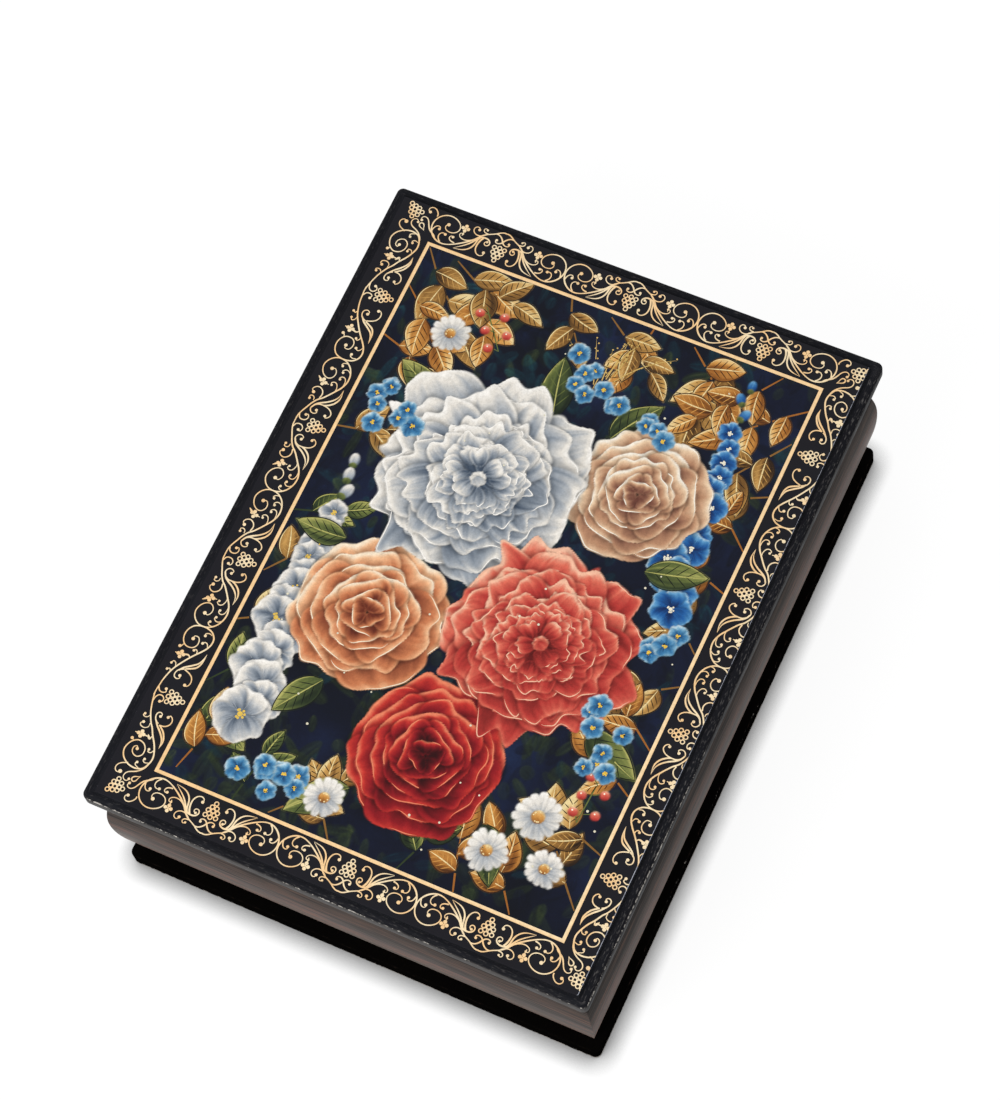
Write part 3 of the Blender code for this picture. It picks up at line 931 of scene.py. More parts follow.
LEAF_STROKES = (
    Stroke((4.68, 5.64), -36, 7.68, (-0.84, 0.29, 0.35, -0.09), (0.42, 0.44, 0.34, 0.06), 0),
    Stroke((4.74, 5.70), -41, 6.96, (-0.37, 0.15, 0.09, -0.11), (0.42, 0.44, 0.3, 0.06), 0),
    Stroke((4.29, 5.53), -55, 6.80, (-0.35, -0.16, -0.42, -0.87, -1.96), (0.5, 0.42, 0.3, 0.24), 0.36),
    Stroke((4.94, 5.53), 167, 5.57, (-0.05, 0.58, 1.13, 1.88, 2.38), (0.5, 0.4, 0.28, 0.24), 0.3),
)
ARCH_STROKES = (
    Stroke((9.81, 1.92), 8, 3.01, (-0.05, 0.66, 1.81, 3.22), (0.4, 0.28, 0.22), 0.32),
    Stroke((12.84, 0.93), 38, 3.64, (0.23, 0.59, 1.17, 1.46), (0.4, 0.28, 0.22), 0.34),
    Stroke((15.67, 2.90), 97, 3.15, (0.12, 0.50, 1.46, 3.52), (0.36, 0.28, 0.22), 0.34),
    Stroke((6.00, 4.55), -46, 5.24, (0.22, 0.36, 0.65, 3.24), (0.36, 0.28, 0.22), 0.24),
    Stroke((3.89, 6.78), -47, 6.30, (0.01, 0.57, 0.68, 1.24, 2.33), (0.34, 0.28, 0.22), 0.34),
    Stroke((3.76, 6.88), 3, 2.72, (-0.29, 1.22, 2.37, 2.71), (0.32, 0.26, 0.2), 0.26),
    Curl(
        (
            (2.58, 7.4), (2.1, 7.62), (1.5, 7.6), (0.95, 7.33), (0.45, 6.85), (0.05, 6.25), (-0.35, 5.75),
            (-0.9, 5.5), (-1.45, 5.6), (-1.7, 5.95), (-1.5, 6.2),
        ),
        (0.3, 0.34, 0.4, 0.28, 0.24), 0.3,
    ),  # fmt: skip
)
STEM = Stroke(
    (-0.02, 8.47),
    16,
    35.59,
    (-0.88, 0.22, -0.31, 0.16, 0.03, 0.09, 0.33, 0.22, 0.28, 0.30, 0.34, 0.26, 0.72, 0.42, 1.76),
    (0.34, 0.3, 0.46, 0.3, 0.44, 0.34, 0.32, 0.28, 0.24),
    0.42,
)
FLOWER_STROKES = (
    *(Stroke((8.9, 6.25), turn, 0.62, (0, 0), (0.2, 0.4), 0.42) for turn in (0, 90, 180, 270)),
    Stroke((8.9, 5.7), -90, 1.4, (0, 0.2), (0.4, 0.26, 0.22), 0),
)
END_OUT = Stroke((16.95, 6.11), 63, 5.07, (0.32, -0.35, -0.78, -1.11, -1.91), (0.3, 0.28, 0.24), 0.45)
FINE, PLAIN, LEAF = (0.2, 0.28, 0.22), (0.34, 0.3, 0.24), (0.4, 0.46, 0.4, 0.06)
FULL = (0.3, 0.4, 0.42, 0.34, 0.3, 0.24)
MIDDLE_HALF = (
    Curl(
        (
            (-0.8, 8.5), (0.4, 8.48), (1.4, 8.42), (2.5, 8.05), (3.7, 7.5), (5.0, 6.9), (6.2, 6.1),
            (7.1, 5.1), (8.3, 4.1), (9.5, 3.2), (10.7, 2.35), (12.1, 1.75), (13.3, 1.6), (14.7, 1.85),
            (16.1, 2.6), (17.1, 3.8), (17.5, 5.2), (17.3, 6.6), (16.5, 7.7), (15.4, 8.35), (14.3, 8.45),
            (13.1, 8.0), (12.3, 7.2), (12.0, 6.3), (12.3, 5.5), (13.1, 5.0), (14.0, 5.05), (14.7, 5.6),
            (14.5, 6.35),
        ),
        FULL, 0.42,
    ),
    Curl(((1.7, 8.25), (0.9, 7.9), (0.6, 7.2), (0.8, 6.4), (1.5, 6.0), (2.2, 6.3), (2.0, 6.8)), PLAIN, 0.33),
    Curl(((5.5, 4.2), (5.4, 5.2), (4.8, 6.1), (3.9, 6.55), (3.1, 6.15), (2.9, 5.4), (3.3, 4.8),
        (3.85, 5.1)), PLAIN, 0.34),
    Curl(((5.5, 4.3), (5.35, 3.2), (4.9, 2.2), (4.1, 1.6), (3.3, 1.75), (2.85, 2.4),
        (3.25, 2.7)), PLAIN, 0.34),
    Curl(((5.45, 4.1), (5.9, 3.1), (6.7, 2.1), (7.7, 1.5), (8.8, 1.3), (10.5, 1.5)), LEAF),
    Curl(((4.1, 6.5), (5.1, 5.9), (5.8, 5.0), (6.6, 3.6), (7.6, 2.4), (8.8, 1.7), (10.5, 1.5)), LEAF),
    Curl(((5.8, 6.85), (6.4, 6.9), (6.8, 7.4), (6.6, 8.0), (6.0, 7.9)), FINE, 0.3),
    Curl(((6.8, 5.8), (7.9, 5.6), (8.8, 6.0), (9.3, 6.9), (9.0, 7.8), (8.3, 8.2), (7.7, 7.7)), PLAIN, 0.38),
    Curl(((9.3, 3.3), (10.3, 3.2), (11.3, 3.6), (11.6, 4.3), (11.2, 4.9), (10.75, 4.65)), FINE, 0.28),
    Curl(((11.3, 2.1), (12.5, 2.1), (13.3, 2.5), (13.45, 3.2), (13.0, 3.7), (12.7, 3.5)), FINE, 0.3),
    Curl(((14.8, 1.95), (15.3, 2.6), (15.3, 3.3), (14.8, 3.8), (14.45, 3.55)), FINE, 0.3),
    Curl(((16.8, 3.3), (16.7, 4.2), (16.2, 4.65), (15.9, 4.35)), FINE, 0.3),
    Curl(((10.8, 6.7), (10.2, 6.75)), (0.2, 0.4), 0.42), Curl(((10.8, 6.8), (10.7, 6.15)), (0.2, 0.4), 0.42),
    Curl(((10.7, 6.7), (11.4, 6.85)), (0.2, 0.4), 0.42), Curl(((10.8, 6.8), (11.0, 7.4)), (0.2, 0.4), 0.42),
    Curl(((10.7, 6.3), (10.6, 5.3)), (0.3, 0.2)), Curl(((11.0, 7.3), (11.8, 8.35)), (0.4, 0.5, 0.2)),
)  # fmt: skip
INNER_HALF = (
    Curl(
        (
            (-0.8, 8.1), (0.3, 8.1), (1.35, 8.0), (3.15, 7.8), (5.15, 7.3), (6.65, 6.7), (8.15, 5.8),
            (9.65, 4.8), (10.95, 3.8), (12.15, 2.8), (13.35, 2.0), (14.65, 1.6), (15.95, 1.8), (17.05, 2.8),
            (17.5, 4.2), (17.5, 5.6), (17.05, 6.9), (16.25, 7.7), (15.15, 8.15), (13.95, 8.15), (12.85, 7.7),
            (12.15, 6.9), (12.0, 6.0), (12.25, 5.1), (13.05, 4.5), (14.05, 4.5), (14.85, 5.0), (14.85, 5.9),
            (14.15, 6.0),
        ),
        FULL, 0.4,
    ),
    Curl(((1.35, 7.95), (0.55, 7.4), (0.35, 6.6), (0.75, 5.9), (1.4, 6.15)), PLAIN, 0.33),
    Curl(((7.05, 4.5), (6.45, 5.6), (5.55, 6.05), (4.75, 5.9), (4.4, 5.2), (4.75, 4.6),
        (5.3, 4.8)), PLAIN, 0.36),
    Curl(((6.95, 4.4), (6.55, 3.2), (5.95, 2.3), (5.05, 1.85), (4.15, 1.9), (3.6, 2.35),
        (3.7, 2.8)), PLAIN, 0.36),
    Curl(((7.15, 4.4), (7.65, 3.3), (8.25, 2.3), (9.15, 1.75), (10.35, 1.5), (11.95, 1.45)), LEAF),
    Curl(((6.35, 5.6), (7.35, 4.8), (8.35, 3.4), (9.35, 2.2), (10.55, 1.7), (11.95, 1.45)), LEAF),
    Curl(((5.35, 7.25), (5.95, 7.6), (5.65, 8.15)), FINE, 0.3),
    Curl(((6.95, 6.7), (7.65, 7.0), (7.9, 7.6), (7.3, 7.9)), FINE, 0.28),
    Curl(((10.85, 3.7), (11.75, 3.8), (12.1, 4.3), (11.75, 4.6)), FINE, 0.3),
    Curl(((13.35, 2.1), (14.15, 2.5), (14.35, 3.1), (13.95, 3.55)), FINE, 0.33),
    Curl(((16.35, 2.4), (16.55, 3.2), (16.2, 3.9), (15.75, 3.8)), FINE, 0.33),
    Curl(((12.45, 7.3), (11.75, 7.6), (11.55, 7.95)), FINE, 0.36),
    Curl(((9.9, 6.9), (9.25, 6.9)), (0.2, 0.4), 0.42), Curl(((9.8, 6.9), (10.5, 6.9)), (0.2, 0.4), 0.42),
    Curl(((9.9, 6.8), (9.88, 7.5)), (0.2, 0.4), 0.42), Curl(((9.9, 7.0), (9.95, 6.3)), (0.2, 0.4), 0.42),
    Curl(((10.05, 6.2), (10.3, 5.5), (10.2, 5.0), (9.8, 4.7)), (0.5, 0.4, 0.2)),
    Curl(((9.88, 7.6), (9.85, 8.25)), (0.4, 0.2)),
)  # fmt: skip
OUTER_HALF = (
    Curl(
        (
            (-0.8, 8.1), (0.0, 8.1), (0.85, 8.0), (2.85, 7.5), (4.85, 6.8), (6.85, 5.7), (7.85, 4.9),
            (9.35, 4.0), (10.85, 2.9), (12.35, 2.1), (13.85, 1.6), (15.35, 1.75), (16.85, 2.5), (17.4, 3.6),
            (17.5, 4.8), (17.15, 6.2), (16.15, 7.6), (14.85, 8.3), (13.65, 8.3), (12.35, 7.7), (11.55, 6.7),
            (11.45, 5.8), (11.85, 4.8), (12.85, 4.1), (14.15, 4.1), (14.95, 5.0), (14.75, 6.0), (14.05, 6.6),
            (13.15, 6.6), (12.8, 6.0), (13.35, 5.75),
        ),
        FULL, 0.36,
    ),
    Curl(((2.15, 7.65), (1.15, 7.5), (0.45, 7.0), (0.35, 6.2), (0.95, 5.6), (1.6, 5.8),
        (1.75, 6.2)), PLAIN, 0.33),
    Curl(((6.5, 4.1), (5.95, 4.95), (5.05, 5.4), (4.25, 5.3), (3.95, 4.7), (4.3, 4.2),
        (4.8, 4.4)), PLAIN, 0.33),
    Curl(((6.75, 3.8), (6.55, 2.6), (5.95, 1.8), (5.05, 1.5), (4.25, 1.8), (3.9, 2.4),
        (4.35, 2.75)), PLAIN, 0.33),
    Curl(((6.65, 3.7), (7.75, 2.3), (9.05, 1.5), (10.15, 1.25), (11.55, 1.42)), LEAF),
    Curl(((5.85, 5.0), (7.05, 4.0), (8.05, 2.9), (9.25, 1.9), (10.35, 1.5), (11.55, 1.42)), LEAF),
    Curl(((5.35, 6.6), (5.95, 7.0), (6.1, 7.6), (5.85, 8.1), (5.45, 7.85)), FINE, 0.3),
    Curl(((7.05, 5.8), (7.95, 5.8), (8.45, 6.6), (8.25, 7.5), (7.7, 7.75), (7.3, 7.3)), FINE, 0.34),
    Curl(((12.4, 2.2), (13.05, 2.6), (13.05, 3.3), (12.5, 3.3)), FINE, 0.3),
    Curl(((15.35, 1.9), (15.6, 2.8), (15.2, 3.35), (14.85, 3.15)), FINE, 0.3),
    Curl(((17.2, 3.5), (16.85, 4.4), (16.35, 4.6), (16.1, 4.35)), FINE, 0.3),
    Curl(((11.95, 7.35), (11.55, 7.9)), FINE, 0.36),
    Curl(((9.9, 6.5), (9.35, 6.5)), (0.2, 0.4), 0.42), Curl(((9.9, 6.5), (10.5, 6.5)), (0.2, 0.4), 0.42),
    Curl(((9.95, 6.4), (9.95, 7.15)), (0.2, 0.4), 0.42), Curl(((9.95, 6.6), (9.95, 5.95)), (0.2, 0.4), 0.42),
    Curl(((9.95, 6.0), (9.95, 4.9)), (0.4, 0.3)), Curl(((9.95, 7.2), (10.0, 7.95)), (0.4, 0.2)),
    Curl(((9.5, 5.0), (10.1, 4.55), (10.3, 4.2), (9.6, 4.05)), (0.2, 0.7, 0.4, 0.2)),
)  # fmt: skip
CORNER_STROKES = (
    Stroke((-0.86, 1.47), 72, 7.55, (-1.18, 0.48, 0.07, -0.91, -2.18), (0.3, 0.4, 0.28, 0.22), 0.32),
    Stroke((0.79, 6.61), 103, 4.82, (-1.21, -0.32, -0.80, -1.33, -2.20), (0.34, 0.28, 0.24), 0.36),
    Stroke((1.86, -0.67), 80, 8.20, (-0.47, -0.21, -0.27, 0.71, 1.08, 1.91), (0.3, 0.34, 0.28, 0.22), 0.3),
    Stroke((2.07, 2.19), 40, 5.06, (-0.89, 0.17, 1.88, 1.98, 0.20, -1.57), (0.12, 0.34, 0.3, 0.12), 0),
)
GRAPES = (
    (0.0, 1.32),
    (-0.55, 2.3), (0.55, 2.3),
    (0.0, 3.05), (-1.1, 3.2), (1.1, 3.2),
    (-0.6, 3.85), (0.6, 3.85),
    (-1.25, 4.4), (1.25, 4.4), (0.0, 4.6),
)  # fmt: skip


@dataclass(frozen=True)
class Placing:
    """Lays border coordinates on the lid: an origin, two directions and a stretch in each."""

    origin: tuple[float, float]
    along: tuple[float, float]
    outward: tuple[float, float]
    stretch: float = 1.0
    rise: float = 1.0

    def lay(self, points: np.ndarray) -> np.ndarray:
        """Turns (along, outward) points into (x, y) ones."""
        moved = np.array(self.origin) + points[..., :1] * self.stretch * np.array(self.along)
        return moved + points[..., 1:] * self.rise * np.array(self.outward)


def facing_up(flat: np.ndarray, faces: np.ndarray) -> np.ndarray:
    """Drops faces without area and turns round those that face down."""
    corner = flat[faces]
    following = np.roll(corner, -1, axis=1)
    area = (corner[..., 0] * following[..., 1] - corner[..., 1] * following[..., 0]).sum(-1) / 2
    turned = np.where((area < 0)[:, None], faces[:, ::-1], faces)
    return turned[np.abs(area) > 1e-5]


@dataclass
class Border:
    """The gold line round the picture and the scroll border outside it, printed 1.5 mm towards +X."""

    frame_half_x: float = 48.57
    frame_half_y: float = 69.04
    shift_x: float = 1.48
    shift_y: float = -0.12
    line_width: float = 0.78
    pen: float = 0.86
    paper_edge: float = 57.33
    short_units: tuple[float, ...] = (-32.65, 0.0, 32.65)
    long_units: tuple[float, ...] = (-52.54, -17.5, 17.5, 52.54)
    drawn_half: float = 16.25
    inner_half: float = 16.33
    outer_half: float = 17.0
    corner_tip: tuple[float, float] = (7.55, 7.6)
    lift: float = 0.05
    ball_sides: int = 14
    ring_sides: int = 16
    ring_radii: tuple[float, float] = (0.33, 0.58)
    layers: int = 13
    layer_step: float = 0.003
    pale: str = "#FFE9C0"
    deep: str = "#FED39A"

    def lay_units(self) -> tuple[list[tuple[Stroke | Curl, list[Placing]]], list[Placing]]:
        """Lays the half units: one kind on the short sides, and a middle, inner and outer one on the long.

        Returns:
            Each stroke with its placings, and the placings of the grape clusters.
        """
        short, middle, inner, outer, clusters = [], [], [], [], []
        for sign in (-1, 1):
            near = np.array([self.shift_x, self.shift_y + sign * self.frame_half_y])
            for place in self.short_units:
                origin = tuple(near + [place, 0])
                for way in (-1, 1):
                    reach = self.outer_half if place * way > 0 else self.inner_half
                    short.append(Placing(origin, (way, 0), (0, sign), reach / self.drawn_half))
                clusters.append(Placing(origin, (1, 0), (0, sign)))
            side = np.array([self.shift_x + sign * self.frame_half_x, self.shift_y])
            for place in self.long_units:
                origin = tuple(side + [0, place])
                away = math.copysign(1, place)
                for way in (-1, 1):
                    kind = middle if abs(place) < self.drawn_half * 2 else (outer if way == away else inner)
                    kind.append(Placing(origin, (0, way), (sign, 0)))
                clusters.append(Placing(origin, (0, 1), (sign, 0), 0.98, 1.08))
        laid = [(stroke, short) for stroke in (STEM, *LEAF_STROKES, *ARCH_STROKES, *FLOWER_STROKES)]
        laid += [(curl, middle) for curl in MIDDLE_HALF] + [(curl, inner) for curl in INNER_HALF]
        laid += [(curl, outer) for curl in OUTER_HALF] + [(END_OUT, outer)]
        laid += [(stroke, self.corners()) for stroke in CORNER_STROKES]
        return laid, clusters

    def corners(self) -> list[Placing]:
        """The placings of the corner strokes: outwards past each of the gold line's corners."""
        half_x, half_y = self.frame_half_x, self.frame_half_y
        return [
            Placing((self.shift_x + x * half_x, self.shift_y + y * half_y), (x, 0), (0, y))
            for x in (-1, 1)
            for y in (-1, 1)
        ]

    def ribbons(self, stroke: Stroke | Curl, placings: list[Placing]) -> tuple[np.ndarray, np.ndarray]:
        """A stroke's ribbon at each placing: its path plus and minus half its width along the path's normal.

        Args:
            stroke: The stroke.
            placings: Where it is laid.

        Returns:
            Points (placing, sample, side, 2) and the ball's centres.
        """
        samples = stroke.samples()
        local = stroke.path(samples)
        path = np.stack([placing.lay(local) for placing in placings])
        tangent = np.gradient(path, axis=1)
        tangent /= np.linalg.norm(tangent, axis=-1, keepdims=True)
        normal = np.stack([-tangent[..., 1], tangent[..., 0]], -1)
        share = np.linspace(0, 1, samples)
        half = np.interp(share, np.linspace(0, 1, len(stroke.widths)), stroke.widths) / 2 * self.pen
        offset = normal * half[None, :, None]
        return np.stack([path - offset, path + offset], 2), path[:, -1]

    def build(self, paper: float) -> None:
        """Makes the gold print, which stops at the paper's +X edge.

        Strokes that cross lie a few micrometres apart, so that no two faces meet.

        Args:
            paper: The paper's height.
        """
        level = paper + self.lift
        gold = VarnishedPrint("gold_print").build()
        laid, clusters = self.lay_units()
        points, faces, layers, total = [], [], [], 0

        def add(shapes: np.ndarray, corners: np.ndarray, layer: np.ndarray) -> None:
            """Adds equal shapes, (shape, point, 2), with their faces and the layer of each."""
            nonlocal total
            points.append(shapes.reshape(-1, 2))
            faces.append(corners + total)
            layers.append(np.repeat(layer, shapes.shape[1]))
            total += len(points[-1])

        for number, (stroke, placings) in enumerate(laid):
            ribbon, ball = self.ribbons(stroke, placings)
            count, samples = ribbon.shape[:2]
            layer = 2 * number + 5 * (np.arange(count) % 2)
            add(ribbon.reshape(count, -1, 2), grid_faces(count, samples, 2), layer)
            if stroke.ball:
                corners = np.arange(count * self.ball_sides).reshape(count, -1)
                add(ball[:, None] + circle(self.ball_sides) * stroke.ball, corners, layer + 1)
        bands, corners = self.rings(clusters)
        add(bands, corners, np.arange(len(bands)))
        flat = np.minimum(np.concatenate(points), [self.paper_edge, np.inf])
        height = level + self.layer_step * (np.concatenate(layers) % self.layers)
        solid = np.concatenate([flat, height[:, None]], -1)
        quads = [facing_up(flat, face) for face in faces]
        piece = make_object("gold_scroll_border", solid, quads, gold, paint=self.gold(flat))
        seat(piece, "lid")
        self.build_line(level, gold)

    def rings(self, clusters: list[Placing]) -> tuple[np.ndarray, np.ndarray]:
        """The grape clusters' rings and their faces: a ring is a circle's band between two radii.

        Args:
            clusters: The placings of the clusters on the four sides, to which each corner's own is added.

        Returns:
            Points (ring, corner, 2) and corner numbers.
        """
        diagonal = []
        for corner in self.corners():
            tip = corner.lay(np.array(self.corner_tip))
            inward = -np.array([corner.along[0], corner.outward[1]]) / math.sqrt(2)
            across = np.array([-inward[1], inward[0]])
            origin = tip - inward * GRAPES[0][1]
            diagonal.append(Placing(tuple(origin), tuple(across), tuple(inward)))
        centres = np.concatenate([placing.lay(np.array(GRAPES)) for placing in clusters + diagonal])
        band = circle(self.ring_sides) * np.array(self.ring_radii)[:, None, None]
        points = centres[:, None, None] + band[None]
        return points.reshape(len(centres), -1, 2), grid_faces(len(centres), 2, self.ring_sides, wrap=True)

    def build_line(self, level: float, gold: bpy.types.Material) -> None:
        """Makes the gold line: four mitred strips."""
        outer = np.array([self.frame_half_x, self.frame_half_y])
        inner = outer - self.line_width
        signs = np.array([(-1, -1), (1, -1), (1, 1), (-1, 1)])
        flat = np.concatenate([signs * inner, signs * outer]) + [self.shift_x, self.shift_y]
        i = np.arange(4)
        faces = np.stack([i, i + 4, (i + 1) % 4 + 4, (i + 1) % 4], -1)
        points = np.concatenate([flat, np.full((8, 1), level)], -1)
        piece = make_object("gold_picture_line", points, [faces], gold, paint=self.gold(flat))
        seat(piece, "lid")

    def gold(self, flat: np.ndarray) -> np.ndarray:
        """The print's warm gold at each point, which drifts between two colours over about 9 mm."""
        drift = np.sin(flat[:, 0] * 0.7 + 1.3 * np.sin(flat[:, 1] * 0.5)) * 0.5 + 0.5
        pale, deep = np.array(linear(self.pale)[:3]), np.array(linear(self.deep)[:3])
        return deep + (pale - deep) * drift[:, None]


@dataclass
class PrintedSheet:
    """The paper glued on the panel, black to its edge, and its pale cut edge that shows towards +X."""

    corner: float = 0.35
    thickness: float = 0.05
    cut: tuple[float, float, float, float] = (-57.0, 57.35, -78.25, 77.45)

    def build(self) -> float:
        """Makes the sheet and returns its printed surface's height."""
        low = extent("lid_board")[1].z
        top = low + self.thickness
        half_x, half_y = (self.cut[1] - self.cut[0]) / 2, (self.cut[3] - self.cut[2]) / 2
        middle = np.array([self.cut[1] + self.cut[0], self.cut[3] + self.cut[2]]) / 2
        edge = MouldedEdge(half_x, half_y, self.corner, 4, wear_side=(1.0, 0.0, 0.7))
        section = np.array([[0.0, low], [0.0, top - 0.02], [0.05, top], [0.22, top], [0.4, top]])
        wear = np.array([2.5, 2.5, 1.7, 0.35, 0.0])
        paper = Lacquer("black_printed_paper", "#0E0D13", "#15141C", "#B9BDC9", 0.34, 0.16).build()
        slide = np.repeat(middle[None], len(section), 0)
        sheet = edge.build("printed_sheet", section, {"wear": wear}, paper, slide)
        seat(sheet, "lid", "picture_sheet")
        return top


@dataclass(frozen=True)
class Pigment:
    """One paint's four colours, from its shadow to its highlight."""

    shadow: str
    body: str
    light: str
    highlight: str

    def at(self, tone: np.ndarray) -> np.ndarray:
        """Blends neighbouring colours by tone, as square roots of light, which mix as paint does."""
        stops = (self.shadow, self.body, self.light, self.highlight)
        roots = np.sqrt([linear(stop)[:3] for stop in stops])
        return np.stack([np.interp(tone, (0.0, 0.38, 0.72, 1.0), roots[:, i]) for i in range(3)], -1)


class Outline(Enum):
    """Outlines of brush marks: width goes as u to the first power times (1 - u) to the second."""

    PETAL = (0.60, 0.30)
    ROUND = (0.50, 0.50)
    LEAF = (0.70, 1.00)

    def width(self, u: np.ndarray) -> np.ndarray:
        """The width at u, where the widest place has 1."""
        rise, fall = self.value
        widest = rise / (rise + fall)
        inside = np.clip(u, 1e-4, 1 - 1e-4)
        return (inside / widest) ** rise * ((1 - inside) / (1 - widest)) ** fall


@dataclass(frozen=True)
class Manner:
    """How a mark is painted.

    The tone runs from root to tip, shifts by side across the mark and by rim at its edge, and streak is how
    far the bristles, so many across, shift it. Ruffle waves the tip, and shade darkens what lies under the
    mark's edge. Lift is the power of the distance from the root with which the tone climbs, and edge is the
    colour of a fine line at the tip.
    """

    pigment: Pigment
    outline: Outline = Outline.PETAL
    root: float = 0.1
    tip: float = 0.8
    side: float = 0.0
    rim: float = 0.15
    streak: float = 0.16
    bristles: float = 4.0
    ruffle: float = 0.0
    bend: float = 0.0
    shade: float = 0.45
    cover: float = 1.0
    lift: float = 1.0
    edge: str = ""


WHITE = Pigment("#3C4A5C", "#9FA6AE", "#ECE6DC", "#FFFBF4")
CREAM = Pigment("#6A3E33", "#C0906F", "#F2D2AE", "#FFF6E6")
PEACH = Pigment("#662A1B", "#CC7C52", "#F6BE90", "#FFEBCF")
CORAL = Pigment("#5E1414", "#B83A34", "#E2705A", "#FBC3A4")
RED = Pigment("#2E0509", "#8E1820", "#C8382F", "#F08A66")
BLUE = Pigment("#0A1E4A", "#1F5A9C", "#5E9CCB", "#CFE6F2")
SKY = Pigment("#14365E", "#3F7FAE", "#93BFD6", "#EAF6FA")
GOLD = Pigment("#2A1A0E", "#8A6230", "#C99A55", "#F3DBA0")
OCHRE = Pigment("#3A1E0E", "#A0642A", "#D79A4E", "#F8DDA2")
OLIVE = Pigment("#0D1410", "#2E3A22", "#66703A", "#B8B468")
TEAL = Pigment("#061220", "#12343E", "#2C6468", "#7FA8A0")
NIGHT = Pigment("#03060F", "#0A1024", "#141F3C", "#243A5C")


